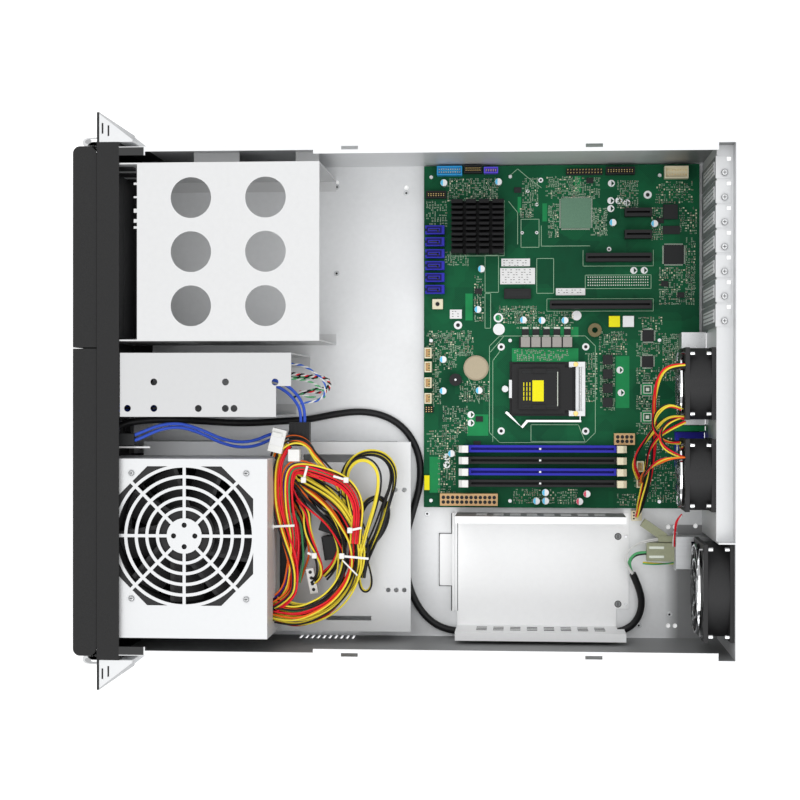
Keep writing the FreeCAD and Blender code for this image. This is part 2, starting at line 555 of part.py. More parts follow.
# ---- power supply --------------------------------------------------------------------------
def grille_openings():
    """The ring-shaped vents over the fan, parted by the bars that stay."""
    flat, corner = GRILLE_FLAT, GRILLE_CHAMFER * math.sqrt(2) - GRILLE_FLAT
    plan = [(flat, corner), (corner, flat), (-corner, flat), (-flat, corner),
            (-flat, -corner), (-corner, -flat), (corner, -flat), (flat, -corner)]
    region = prism([(PSU_FAN_X + x, PSU_FAN_Y + y) for x, y in plan], PSU_TOP - 2, PSU_TOP + 1)
    stays = [rod(GRILLE_HUB_R, PSU_FAN_X, PSU_FAN_Y, PSU_TOP - 3, 6)]
    for radius in GRILLE_RING_R:
        ring = rod(radius + GRILLE_BAR / 2, PSU_FAN_X, PSU_FAN_Y, PSU_TOP - 3, 6)
        stays.append(ring.cut(rod(radius - GRILLE_BAR / 2, PSU_FAN_X, PSU_FAN_Y, PSU_TOP - 4, 8)))
    centre = V(PSU_FAN_X, PSU_FAN_Y, 0)
    for angle in (0, 45, 90, 135):
        bar = block(PSU_FAN_X - 80, PSU_FAN_X + 80, PSU_FAN_Y - GRILLE_BAR / 2, PSU_FAN_Y + GRILLE_BAR / 2,
                    PSU_TOP - 3, PSU_TOP + 3)
        stays.append(bar.rotated(centre, V(0, 0, 1), angle))
    return region.cut(stays).Solids


def psu_case():
    """Sheet-steel box of the power supply with the fan grille stamped in its top."""
    shell = block(PSU_LEFT, PSU_RIGHT, PSU_FRONT, PSU_REAR, SHELF_TOP, PSU_TOP)
    hollow = block(PSU_LEFT + PSU_SKIN, PSU_RIGHT - PSU_SKIN, PSU_FRONT + PSU_SKIN, PSU_REAR - PSU_SKIN,
                   SHELF_TOP + PSU_SKIN, PSU_TOP - PSU_SKIN)
    hub_holes = [rod(2.2, PSU_FAN_X + 9 * dx, PSU_FAN_Y + 9 * dy, PSU_TOP - 2, 4)
                 for dx, dy in ((1, 0), (-1, 0), (0, 1), (0, -1))]
    vents = [block(x, x + 3, PSU_FRONT - 1, PSU_FRONT + 2, SHELF_TOP + 14, PSU_TOP - 14)
             for x in range(116, 192, 10)]
    inlet = block(PSU_LEFT + 14, PSU_LEFT + 41, PSU_FRONT - 1, PSU_FRONT + 2, SHELF_TOP + 26, SHELF_TOP + 46)
    exit_hole = block(HARNESS_X - 10, HARNESS_X + 10, PSU_REAR - 2, PSU_REAR + 1, SHELF_TOP + 34, SHELF_TOP + 54)
    return [cut(shell, [hollow, inlet, exit_hole] + hub_holes + vents + grille_openings())]


def psu_board():
    """Circuit board inside the power supply with its transformer, heat sinks and capacitors."""
    floor = SHELF_TOP + PSU_SKIN + 5
    left, right = PSU_LEFT + 6, PSU_RIGHT - 6
    front, rear = PSU_FRONT + 8, PSU_REAR - 8
    parts = [block(left, right, front, rear, floor, floor + 1.6)]
    top = floor + 1.6
    for x in (left + 34, left + 92):
        parts.append(block(x, x + 4, front + 10, rear - 10, top, top + 34))
    parts.append(block(left + 48, left + 80, front + 40, front + 72, top, top + 30))
    parts += [rod(9, left + 16, front + y, top, 32) for y in (28, 52)]
    feet = [rod(3, x, y, SHELF_TOP + PSU_SKIN, 5) for x in (left + 5, right - 5) for y in (front + 5, rear - 5)]
    return [join(parts + feet)]


def fan_frame(size, depth, bore, pitch, hole_r):
    """A square fan frame lying flat, mouth up, with corner lugs, struts and a motor seat."""
    half, thick = size / 2, 3.5
    body = block(-half, half, -half, half, 0, depth)
    waist = block(-half - 1, half + 1, -half - 1, half + 1, thick, depth - thick)
    tube_wall = rod(bore + 1.6, 0, 0, 0, depth)
    body = body.cut(waist.cut(tube_wall))
    tools = [rod(bore, 0, 0, -1, depth + 2)]
    tools += [rod(hole_r, sx * pitch / 2, sy * pitch / 2, -1, depth + 2) for sx in (-1, 1) for sy in (-1, 1)]
    body = body.cut(tools)
    seat = rod(HUB_SHARE * bore, 0, 0, 0, 3)
    struts = [block(-1.2, 1.2, 0, bore + 1, 0, 3).rotated(V(0, 0, 0), V(0, 0, 1), angle)
              for angle in (45, 135, 225, 315)]
    return join([body, seat] + struts)


def fan_rotor(depth, bore, blades):
    """Hub and pitched blades on the fan's axis, between the motor seat and the mouth."""
    hub_r = HUB_SHARE * bore
    low, high = 3.0 + GAP, depth - 2.5
    hub = rod(hub_r, 0, 0, low, high - low)
    tip = bore - TIP_GAP
    blade = block(hub_r - 3, tip + 5, -1.0, 1.0, -depth, depth)
    blade = blade.rotated(V(0, 0, 0), V(1, 0, 0), 52).translated(V(0, 0, (low + high) / 2))
    annulus = rod(tip, 0, 0, low + 1.0, high - low - 2.0).cut(rod(hub_r - 1, 0, 0, 0, depth))
    blade = blade.common(annulus)
    copies = [blade.rotated(V(0, 0, 0), V(0, 0, 1), 360 / blades * i) for i in range(blades)]
    return join([hub] + copies)


def upright(shape, x, y, z):
    """Stand a flat fan part up, mouth towards the front, its back face at y."""
    return shape.rotated(V(0, 0, 0), V(1, 0, 0), 90).translated(V(x, y, z))


def rear_fan_frames():
    """Frames of the two small fans and the large one."""
    small = fan_frame(SMALL_FAN, FAN_DEPTH, SMALL_BORE, 50.0, 2.1)
    large = fan_frame(LARGE_FAN, FAN_DEPTH, LARGE_BORE, 71.5, 2.1)
    return [upright(small, x, RECESS, SMALL_FAN_Z) for x in SMALL_FAN_X] + \
        [upright(large, LARGE_FAN_X, REAR - SHEET, LARGE_FAN_Z)]


def small_fan_rotor(index):
    """Impeller of a small rear fan."""
    return [upright(fan_rotor(FAN_DEPTH, SMALL_BORE, 7), SMALL_FAN_X[index], RECESS, SMALL_FAN_Z)]


def large_fan_rotor():
    """Impeller of the large rear fan."""
    return [upright(fan_rotor(FAN_DEPTH, LARGE_BORE, 7), LARGE_FAN_X, REAR - SHEET, LARGE_FAN_Z)]


def psu_fan_frame():
    """Fan frame hung under the grille."""
    return [fan_frame(PSU_FAN, FAN_DEPTH, PSU_BORE, 105.0, 2.2).translated(V(PSU_FAN_X, PSU_FAN_Y, PSU_FAN_LOW))]


def psu_fan_rotor():
    """Impeller under the grille."""
    return [fan_rotor(FAN_DEPTH, PSU_BORE, 9).translated(V(PSU_FAN_X, PSU_FAN_Y, PSU_FAN_LOW))]


def fan_guard(size):
    """Wire guard on a fan's mouth: three rings on four legs that end at the screw lugs."""
    wire = GUARD_WIRE
    parts = []
    for share, sides in ((0.92, 16), (0.62, 16), (0.32, 12)):
        radius = share * size / 2
        outer = ring_of(radius + wire / 2, sides)
        inner = ring_of(radius - wire / 2, sides)
        parts.append(prism(outer, 3 - wire / 2, 3 + wire / 2).cut(prism(inner, 3 - wire, 3 + wire)))
    reach = size / 2 * math.sqrt(2) - 6
    for angle in (45, 135, 225, 315):
        leg = block(0.2 * size / 2, reach, -wire / 2, wire / 2, 3 - wire, 3)
        foot = block(reach - wire, reach, -wire / 2, wire / 2, 0, 3)
        parts.append(join([leg, foot]).rotated(V(0, 0, 0), V(0, 0, 1), angle))
    return join(parts)


def ring_of(radius, sides):
    """Corners of a regular polygon."""
    return [(radius * math.cos(2 * math.pi * i / sides), radius * math.sin(2 * math.pi * i / sides))
            for i in range(sides)]


def fan_guards():
    """Guards on the inner faces of the three rear fans."""
    small, large = fan_guard(SMALL_FAN), fan_guard(LARGE_FAN)
    return [upright(small, x, RECESS - FAN_DEPTH, SMALL_FAN_Z) for x in SMALL_FAN_X] + \
        [upright(large, LARGE_FAN_X, REAR - SHEET - FAN_DEPTH, LARGE_FAN_Z)]


def psu_shelf():
    """Raised shelf under the power supply, on two folded legs; the mains lead passes beneath."""
    front = FRAME_BACK + 0.5
    leg_end = SHELF_REAR - 14
    parts = [block(SHELF_LEFT, SHELF_RIGHT, front, SHELF_REAR, SHELF_TOP - SHEET, SHELF_TOP)]
    for x, foot in ((SHELF_LEFT, SHELF_LEFT), (SHELF_RIGHT - SHEET, SHELF_RIGHT - FOOT)):
        parts.append(block(x, x + SHEET, front, leg_end, SHEET, SHELF_TOP))
        parts.append(block(foot, foot + FOOT, front, leg_end, SHEET, 2 * SHEET))
    tools = [block(47, 54, -92, -46, SHELF_TOP - 2, SHELF_TOP + 1),
             block(189, 193, -72, -32, SHELF_TOP - 2, SHELF_TOP + 1)]
    tools += [rod(2.1, x, y, SHELF_TOP - 2, 4) for x, y in ((78, -11), (78, -3), (166, -17), (166, -10), (166, -3))]
    return [cut(join(parts), tools)]


def disk_tray():
    """Open tray for a drive: vented side walls with flanges and a pull tab at the front."""
    high = SHEET + TRAY_HEIGHT
    parts = [block(TRAY_LEFT, TRAY_RIGHT, TRAY_FRONT, TRAY_REAR + 5, SHEET, 2 * SHEET),
             block(TRAY_LEFT, TRAY_LEFT + SHEET, TRAY_FRONT, TRAY_REAR, SHEET, high),
             block(TRAY_RIGHT - SHEET, TRAY_RIGHT, TRAY_FRONT, TRAY_REAR, SHEET, high),
             block(TRAY_LEFT, TRAY_LEFT + TRAY_FLANGE, TRAY_FRONT, TRAY_REAR, high - SHEET, high),
             block(TRAY_RIGHT - SHEET, TRAY_RIGHT + TRAY_FLANGE, TRAY_FRONT, TRAY_REAR, high - SHEET, high),
             block(TRAY_LEFT, TRAY_RIGHT - 14, TRAY_FRONT - 4, TRAY_FRONT, SHEET, 2 * SHEET),
             block(TRAY_LEFT, TRAY_RIGHT - 14, TRAY_FRONT - 4, TRAY_FRONT - 4 + SHEET, SHEET, 8)]
    tab = block(TRAY_LEFT + 19, TRAY_LEFT + 66, TRAY_FRONT - 16, TRAY_FRONT - 3, SHEET, 2 * SHEET)
    corners = [edge for edge in tab.Edges if edge.BoundBox.ZLength > 1 and edge.BoundBox.YMax < TRAY_FRONT - 10]
    parts.append(tab.makeFillet(3.0, corners))
    vents = [block(TRAY_LEFT - 1, TRAY_RIGHT + 1, y, y + 9.3, z, z + 2.4)
             for y in (TRAY_FRONT + 18 + 14.8 * i for i in range(8)) for z in (16, 25, 34)]
    corner = block(TRAY_RIGHT - 17, TRAY_RIGHT + 1, TRAY_REAR - 6, TRAY_REAR + 6, SHEET - 1, 22)
    return [cut(join(parts), vents + [corner])]


def ac_inlet():
    """Filtered mains inlet: can, flange behind the rear wall, socket mouth and boots on its terminals."""
    width, depth, height = INLET_CAN
    face = REAR - SHEET
    can = block(INLET_X - width / 2, INLET_X + width / 2, face - depth, face - 2,
                INLET_Z - height / 2, INLET_Z + height / 2)
    flange = block(INLET_X - 15.5, INLET_X + 18, face - 2, face, INLET_Z - 14, INLET_Z + 14)
    snout = block(INLET_X - 12 + GAP, INLET_X + 12 - GAP, face, REAR, INLET_Z - 8 + GAP, INLET_Z + 8 - GAP)
    well = block(INLET_X - 9, INLET_X + 9, face - 14, REAR + 1, INLET_Z - 5.5, INLET_Z + 5.5)
    pins = [block(INLET_X + dx - 1, INLET_X + dx + 1, face - 15, face - 3, INLET_Z - 2, INLET_Z + 2)
            for dx in (-5, 0, 5)]
    boots = [block(INLET_X - 8, INLET_X + 8, BOOT_FRONT, BOOT_REAR, INLET_Z - 7, INLET_Z + 7),
             block(INLET_X - 14, INLET_X - 8.5, BOOT_REAR - 14, BOOT_REAR, INLET_Z - 7, INLET_Z + 4)]
    return [join([cut(join([can, flange, snout]), [well])] + pins)] + boots


# ---- board ---------------------------------------------------------------------------------
def on_board(x0, x1, y0, y1, height, base=0.0):
    """A block that stands on the board, or base above it."""
    return block(x0, x1, y0, y1, BOARD_TOP + base, BOARD_TOP + height)


def motherboard():
    """The bare board, drilled for its screws and for the cooler."""
    half = COOLER_PITCH / 2
    holes = [rod(2.0, SOCKET_X + sx * half, SOCKET_Y + sy * half, BOARD_UNDER - 1, 4)
             for sx in (-1, 1) for sy in (-1, 1)]
    return [cut(block(BOARD_LEFT, BOARD_RIGHT, BOARD_FRONT, BOARD_REAR, BOARD_UNDER, BOARD_TOP), holes)]


def cpu_socket():
    """Processor socket with its steel frame and the cheeks of the load plate's hinge."""
    half = SOCKET_SIZE / 2
    frame = on_board(SOCKET_X - 24, SOCKET_X + 24, SOCKET_Y - 30, SOCKET_Y + 37, 1.4)
    body = on_board(SOCKET_X - half, SOCKET_X + half, SOCKET_Y - half - 4, SOCKET_Y + half - 4, 3.2)
    cheeks = [on_board(x, x + 4.4, HINGE_Y - 4.5, LEVER_Y + 4, 7.0) for x in (SOCKET_X - 24, SOCKET_X + 19.6)]
    bore = rod(LEVER_R + 0.1, SOCKET_X - 25, LEVER_Y, BOARD_TOP + LEVER_UP, 50, "x")
    pin_bore = rod(1.5, SOCKET_X - 25, HINGE_Y, BOARD_TOP + HINGE_UP, 50, "x")
    shoulder = rod(2.6, SOCKET_X, SOCKET_Y - 34.0, BOARD_TOP, 7.0)
    return [join([cut(join([frame, body] + cheeks), [bore, pin_bore]), shoulder])]


def socket_load_plate():
    """Load plate with its window and its nose, on a pin between the cheeks."""
    low = 4.0
    plate = on_board(SOCKET_X - 22, SOCKET_X + 22, SOCKET_Y - 28, SOCKET_Y + 19, low + 1.4, low)
    neck = on_board(SOCKET_X - 19, SOCKET_X + 19, SOCKET_Y + 19, HINGE_Y, low + 1.4, low)
    nose = on_board(SOCKET_X - 8, SOCKET_X + 8, SOCKET_Y - 30.5, SOCKET_Y - 28, low + 1.4, low)
    pin = rod(1.4, SOCKET_X - 23.5, HINGE_Y, BOARD_TOP + HINGE_UP, 47, "x")
    window = on_board(SOCKET_X - 15, SOCKET_X + 15, SOCKET_Y - 19, SOCKET_Y + 11, 9, 0)
    return [join([cut(join([plate, neck, nose]), [window]), pin])]


def socket_cover():
    """Plastic cap that keeps dust off the contacts, clipped in the plate's window."""
    cap = on_board(SOCKET_X - 18, SOCKET_X + 18, SOCKET_Y - 22, SOCKET_Y + 14, 8.0, 5.4)
    plug = on_board(SOCKET_X - 14.7, SOCKET_X + 14.7, SOCKET_Y - 18.7, SOCKET_Y + 10.7, 5.4, 3.6)
    lifts = [on_board(x, x + 4, SOCKET_Y - 10, SOCKET_Y + 2, 9.6, 8.0) for x in (SOCKET_X - 18, SOCKET_X + 14)]
    return [join([cap, plug] + lifts)]


def socket_lever():
    """Bent lever that locks the load plate: pivot bar, long arm and hooked grip."""
    bar = rod(LEVER_R, SOCKET_X - 22, LEVER_Y, BOARD_TOP + LEVER_UP, 51, "x")
    arm_x = SOCKET_X + 28.5
    low = BOARD_TOP + LEVER_UP - 0.9
    arm = block(arm_x - 0.9, arm_x + 0.9, SOCKET_Y - 15, LEVER_Y + 0.9, low, low + 1.8)
    knee = prism([(arm_x - 0.9, SOCKET_Y - 15), (arm_x + 5, SOCKET_Y - 20), (arm_x + 6.4, SOCKET_Y - 18.4),
                  (arm_x + 0.9, SOCKET_Y - 13.6)], low, low + 1.8)
    grip = prism([(arm_x + 5, SOCKET_Y - 20), (arm_x - 7, SOCKET_Y - 34), (arm_x - 8.6, SOCKET_Y - 33),
                  (arm_x - 8, SOCKET_Y - 31.4), (arm_x + 6.4, SOCKET_Y - 18.4)], low, low + 1.8)
    return [join([bar, arm, knee, grip])]


def dimm_x(index):
    """Middle of a memory slot."""
    return DIMM_FIRST_X + index * DIMM_PITCH


def dimm_slots():
    """Four memory slots with forked ends for their latches."""
    slots = []
    half = DIMM_WIDTH / 2
    for i in range(4):
        x = dimm_x(i)
        body = on_board(x - half, x + half, DIMM_FRONT, DIMM_REAR, DIMM_HEIGHT)
        cheeks = [on_board(x + a, x + b, y0, y1, 8.0) for a, b in ((-half, -half + 0.8), (half - 0.8, half))
                  for y0, y1 in ((DIMM_FRONT - 4.2, DIMM_FRONT), (DIMM_REAR, DIMM_REAR + 4.2))]
        groove = on_board(x - 1.1, x + 1.1, DIMM_FRONT + 2, DIMM_REAR - 2, DIMM_HEIGHT + 1, 3.0)
        slots.append(cut(join([body] + cheeks), [groove]))
    return slots


def dimm_latch(index, end):
    """A latch that swings out from a slot's end, drawn as a side view in Y and Z."""
    x = dimm_x(index)
    edge = DIMM_FRONT if end < 0 else DIMM_REAR
    out, up = LATCH_PIVOT
    radius = out - GAP
    stem_half, head_half = DIMM_WIDTH / 2 - 1.0, DIMM_WIDTH / 2

    def side(points, half):
        corners = [V(x - half, edge + end * d, BOARD_TOP + h) for d, h in points]
        return Part.Face(Part.makePolygon(corners + corners[:1])).extrude(V(2 * half, 0, 0))

    stem = side([(GAP, up), (out + radius, up), (LATCH_REACH - 1, 12.0), (LATCH_REACH - 1, 13.0),
                 (GAP, 13.0)], stem_half)
    head = side([(GAP, 12.5), (LATCH_REACH, 12.5), (LATCH_REACH, LATCH_HEIGHT - 2),
                 (LATCH_REACH - 3, LATCH_HEIGHT), (GAP, LATCH_HEIGHT)], head_half)
    heel = rod(radius, x - stem_half, edge + end * out, BOARD_TOP + up, 2 * stem_half, "x")
    return [join([stem, head, heel])]


def chipset_heatsink():
    """Cross-cut pin-fin heat sink on its chip."""
    x0, x1, y0, y1 = -178, -130.5, 37.5, 84.0
    base = on_board(x0, x1, y0, y1, 6.0, 1.4)
    chip = on_board(x0 + 10, x1 - 10, y0 + 10, y1 - 10, 1.4)
    fins = on_board(x0, x1, y0, y1, 22.0, 6.0)
    grooves = [on_board(x - 1.3, x + 1.3, y0 - 1, y1 + 1, 23, 6.0) for x in (x0 + 4.75 * i for i in range(1, 10))]
    grooves += [on_board(x0 - 1, x1 + 1, y - 1.5, y + 1.5, 23, 6.0) for y in (y0 + 11.625 * i for i in range(1, 4))]
    return [join([chip, base] + fins.cut(grooves).Solids)]


def expansion_slots():
    """Card-edge slots: two short, one medium, one long."""
    slots = []
    for x, front in ((-166.7, 190.3), (-147.3, 190.3), (-127.0, 156.2), (-85.4, 124.6)):
        body = on_board(x - 3.75, x + 3.75, front, 214.0, 11.2)
        slots.append(cut(body, [on_board(x - 0.9, x + 0.9, front + 1.5, 212.5, 12, 3.0)]))
    return slots


def sata_ports():
    """Six drive ports along the front edge of the board."""
    ports = []
    for i in range(6):
        x = -152.4 + 10.6 * i
        body = on_board(x - 3.9, x + 3.9, BOARD_FRONT + 1.6, BOARD_FRONT + 18.6, 8.2)
        ports.append(cut(body, [on_board(x - 1.2, x + 1.2, BOARD_FRONT + 1, BOARD_FRONT + 9, 9, 1.5)]))
    return ports


def board_connectors():
    """Supply sockets and pin headers."""
    shells = [(82.2, 92.8, 27.5, 78.6, 12.8), (28.4, 38.4, 181.2, 199.2, 12.8), (-208.9, -200.7, 24.4, 46.7, 9.5),
              (-209.6, -202.5, 48.4, 64.4, 9.0), (-207.8, -202.3, 66.1, 78.6, 9.0), (-187.0, -180.6, 14.6, 32.4, 8.0),
              (-206.8, -200.4, 173.8, 199.2, 9.0), (-207.2, -196.5, 225.2, 246.0, 9.0)]
    shells += [(x, x + 9.3, BOARD_FRONT + 1.1, BOARD_FRONT + 7.3, 11.0) for x in (-47.4, -35.0, -20.9, -7.0)]
    shells += [(x, x + 9.3, 201.0, 207.2, 11.0) for x in (53.0, 67.0)]
    made = []
    for x0, x1, y0, y1, height in shells:
        hollow = on_board(x0 + 1, x1 - 1, y0 + 1, y1 - 1, height + 1, height - 6)
        made.append(cut(on_board(x0, x1, y0, y1, height), [hollow]))
    return made


def coin_cell():
    """Clock battery in its round holder."""
    x, y = -29.5, 59.1
    holder = rod(11.2, x, y, BOARD_TOP, 2.0)
    return join([holder, rod(10.0, x, y, BOARD_TOP + 2.0, 3.2)])


def capacitors():
    """Solid capacitors standing on the board, and the sounder."""
    places = [(-194.1, 30.5), (-194.6, 79.0), (-117.4, 64.0), (-81.4, 60.9), (-72.0, 101.2), (-71.5, 117.6),
              (-71.5, 137.9), (-157.8, 180.0), (-156.6, 216.5), (-37.0, 30.0), (-9.0, 30.0), (-9.4, 62.0),
              (46.7, 37.4), (81.0, 120.8), (88.6, 112.9), (88.5, 121.0), (82.1, 157.4), (88.8, 151.0)]
    made = [prism([(x + dx, y + dy) for dx, dy in ring_of(3.15, 10)], BOARD_TOP, BOARD_TOP + 8.5)
            for x, y in places]
    made.append(prism([(-19.0 + dx, 41.0 + dy) for dx, dy in ring_of(5.6, 12)], BOARD_TOP, BOARD_TOP + 8.0))
    return made


def chokes():
    """Choke blocks and switching packages of the processor's supply, and the wound ring beside it."""
    made = [on_board(-56.9, -48.0, y, y + 8.0, 7.0) for y in (99.0 + 9.3 * i for i in range(5))]
    made += [on_board(-64.2, -58.8, y, y + 6.0, 1.4) for y in (100.0 + 9.3 * i for i in range(5))]
    made += [on_board(x, x + 8.5, 171.5, 180.0, 7.0) for x in (-40.9 + 12.6 * i for i in range(4))]
    ring = ring_of(6.1, 14)
    hole = ring_of(2.6, 10)
    centre = (-62.9, 164.3)
    wound = prism([(centre[0] + dx, centre[1] + dy) for dx, dy in ring], BOARD_TOP, BOARD_TOP + 7.0)
    core = prism([(centre[0] + dx, centre[1] + dy) for dx, dy in hole], BOARD_TOP - 1, BOARD_TOP + 9.0)
    return made + [wound.cut(core)]


def board_chips():
    """Flat packages soldered to the board."""
    sizes = [(-180.4, -153.6, 134.3, 160.9, 2.4), (-173.9, -161.0, 224.5, 237.2, 3.6), (-155.1, -147.9, 224.3, 239.2, 1.6),
             (-138.3, -121.4, 225.2, 242.7, 1.6), (-63.1, -52.9, 206.4, 216.5, 1.6), (-40.1, -30.1, 206.0, 216.0, 1.6),
             (-15.3, -5.5, 206.0, 215.9, 1.6), (9.3, 18.9, 206.0, 215.7, 1.6), (66.5, 79.5, 13.0, 17.6, 3.0),
             (-75.5, -65.8, 176.8, 186.5, 3.0), (-75.5, -65.8, 189.1, 198.8, 3.0)]
    return [on_board(*size) for size in sizes]


# left, right, height and depth of each rear socket
IO_PORTS = ((-60.0, -44.0, 27.0, 21.0), (-39.0, -23.0, 27.0, 21.0), (-18.0, -3.0, 16.0, 19.0), (6.0, 20.6, 19.0, 18.0),
            (21.2, 26.2, 19.0, 26.0), (26.9, 57.8, 13.0, 25.0), (63.0, 79.0, 26.0, 18.0))


def rear_io_ports():
    """Sockets on the board's rear edge and the thin shield round them in the rear wall's opening."""
    rear = RECESS - GAP
    made = []
    for x0, x1, height, depth in IO_PORTS:
        shell = on_board(x0, x1, rear - depth, rear, height)
        mouth = on_board(x0 + 1.2, x1 - 1.2, rear - depth / 2, rear + 1, height - 1.5, 1.5)
        made.append(cut(shell, [mouth]))
    low = BOARD_TOP - 2.2
    shield = block(IO_LEFT + GAP, IO_LEFT + IO_OPENING[0] - GAP, RECESS + 0.3, RECESS + 0.8,
                   low + GAP, low + IO_OPENING[1] - GAP)
    windows = [block(x0 + 0.6, x1 - 0.6, RECESS - 1, RECESS + 2, BOARD_TOP + 1.0, BOARD_TOP + height - 1.0)
               for x0, x1, height, _ in IO_PORTS]
    return made + [cut(shield, windows)]


# ---- cords and what is on them ---------------------------------------------------------------
def mains_plug():
    """Right-angled plug in the power supply's inlet, with its strain relief."""
    body = block(PLUG_X - 14, PLUG_X + 14, PLUG_FACE - 17.5, PLUG_FACE, PLUG_Z - 10, PLUG_Z + 10)
    corners = [edge for edge in body.Edges if edge.BoundBox.ZLength > 10 and edge.BoundBox.YMax < PLUG_FACE - 5]
    body = body.makeChamfer(4.0, corners)
    snout = block(PLUG_X - 11.5, PLUG_X + 11.5, PLUG_FACE, PLUG_FACE + 11, PLUG_Z - 8, PLUG_Z + 8)
    relief = Part.makeCone(5.0, LEAD_R + 0.6, 12.0, V(PLUG_X - 14, LEAD_Y, PLUG_Z), V(-1, 0, 0))
    return join([body, snout, relief])


def ac_lead():
    """Mains lead from the plug along the floor, under the shelf and round the tray to the inlet."""
    start = PLUG_X - 26
    points = [(start - 0.05, LEAD_Y, PLUG_Z), (start - 12, LEAD_Y, PLUG_Z), (start - 23, LEAD_Y + 6, PLUG_Z - 1),
              (start - 30, LEAD_Y + 17, PLUG_Z - 3), (17.0, -231, 68), (16.3, -214, 58), (16.8, -196, 43),
              (18.5, -178, 27), (20.0, -160, 14.5), (20.0, -140, 6.5), (18.5, -118, LEAD_REST),
              (17.0, -93, LEAD_REST), (12.0, -69, LEAD_REST), (9.0, -45, LEAD_REST), (13.0, -22, LEAD_REST),
              (26.0, -3, LEAD_REST), (48.0, 8.5, LEAD_REST), (73.0, 9.5, LEAD_REST), (97.0, 3.0, LEAD_REST),
              (121.0, -4.0, LEAD_REST), (146.0, -5.0, LEAD_REST), (169.0, -0.5, LEAD_REST), (187.5, 8.5, LEAD_REST),
              (200.5, 21.5, LEAD_REST), (206.3, 38.0, LEAD_REST), (207.2, 66.0, LEAD_REST), (206.8, 115.0, LEAD_REST),
              (206.9, 158.0, LEAD_REST), (206.3, 182.0, LEAD_REST), (202.0, 195.5, LEAD_REST + 0.5),
              (192.5, 203.5, LEAD_REST + 2), (179.0, 206.5, 10.5), LEAD_END[0], LEAD_END[1]]
    return [tube(points, LEAD_R)]


def inlet_wires():
    """Cores of the mains lead from the end of its sheath to the inlet's boots."""
    x = INLET_X + 1
    before, end = (V(*p) for p in LEAD_END)
    run = end - before
    first, second = end + run * 0.01, end + run * 0.5
    return [tube([tuple(first), tuple(second), (x + 6.2, BOOT_FRONT - 14.1, 22.8), (x + 1.3, BOOT_FRONT - 10, 23.9),
                  (x, BOOT_FRONT - 4, INLET_Z), (x, BOOT_FRONT, INLET_Z)], CORE_R)]


def bracket_port_cable():
    """Flat twin cable from a front port, through the drive bracket, to the common plug."""
    x0, _, _, _, low, high = USB_PLUG
    end_z = (low + high) / 2 + 2.5
    return [tube([(6.0, INSIDE, 102.0), (6.0, -237.0, 102.0), (7.0, -219.0, 105.0), (6.5, -199.0, 107.0),
                  (3.0, -179.0, 108.0), (-4.5, -160.0, 108.5), (-12.5, -141.5, 108.5), (-17.0, -122.0, 106.5),
                  (-15.8, -108.0, 102.0), (-9.0, -97.0, 96.5), (1.0, -89.5, 91.0), (x0 - 8, -87.0, end_z),
                  (x0, -87.0, end_z)], USB_R)]


def side_port_cable():
    """Flat twin cable from a front port, beside the power supply, to the common plug."""
    _, _, front, _, low, high = USB_PLUG
    z = (low + high) / 2 - 1
    return [tube([(32.5, INSIDE + 12, PORT_Z), (32.5, -229.0, PORT_Z), (28.5, -219.0, 109.0), (22.5, -206.0, 104.5),
                  (20.5, -190.0, 98.0), (26.0, -173.0, 92.0), (34.0, -157.0, 88.0), (37.8, -141.0, 86.0),
                  (36.4, -127.0, z), (31.5, -115.5, z), (29.0, front - 8.5, z), (29.0, front, z)], USB_R)]


def panel_wires():
    """Bundle of thin front-panel pairs through the drive bracket, in a loop behind it."""
    return [tube([(-3.0, INSIDE, 88.0), (-3.0, -235.0, 88.0), (-11.0, -206.0, 88.0), (-22.0, -178.0, 88.0),
                  (-29.0, -150.0, 88.0), (-33.0, -122.0, 88.0), (-35.5, -99.0, 88.0), (-34.0, -84.5, 88.0),
                  (-27.0, -73.0, 88.0), (-16.0, -66.0, 88.0), (-4.0, -65.5, 88.0), (4.5, -72.5, 88.0),
                  (7.0, -83.0, 88.0)], PANEL_WIRE_R)]


def supply_wire_hank():
    """The supply's wires folded into a tied hank on the shelf, with the stub they leave by."""
    near = PSU_REAR + 1.5
    hank = prism([(49, near), (46, -101), (38.5, -92.5), (38.5, -80), (45, -68), (57, -59), (128, -37), (138, -32),
                  (152, -36), (168, -48), (180, -66), (186, -88), (186, near)], HARNESS_LOW, HARNESS_HIGH)
    stub = rod(6.0, HARNESS_X, PSU_REAR - 2, SHELF_TOP + 43, 5, "y")
    return [join([hank, stub])]


def supply_wire_loop():
    """The rest of the supply's wires in a loop behind the hank."""
    return [prism([(62, -53), (50, -45), (44, -33), (46, -18), (57, -9), (71, -8.5), (93, -13.5), (117, -22),
                   (136, -29), (126, -34.5)], HARNESS_LOW, SHELF_TOP + 36)]


def cable_plugs():
    """Plugs on the cables: front-port plug, two drive supply plugs, a fan plug and the mains plug."""
    usb = block(*USB_PLUG)
    seat = USB_PLUG[5] - 3.1
    tall = block(-10, 10, -6, 6, seat, seat + 15).rotated(V(0, 0, 0), V(0, 0, 1), -14).translated(V(33.5, -106.5, 0))
    short = block(41, 51, -97.5, -88, HARNESS_HIGH, HARNESS_HIGH + 9)
    fan = block(97, 106, 197, 206, SHEET, SHEET + 9)
    return [usb, tall, short, fan, mains_plug()]


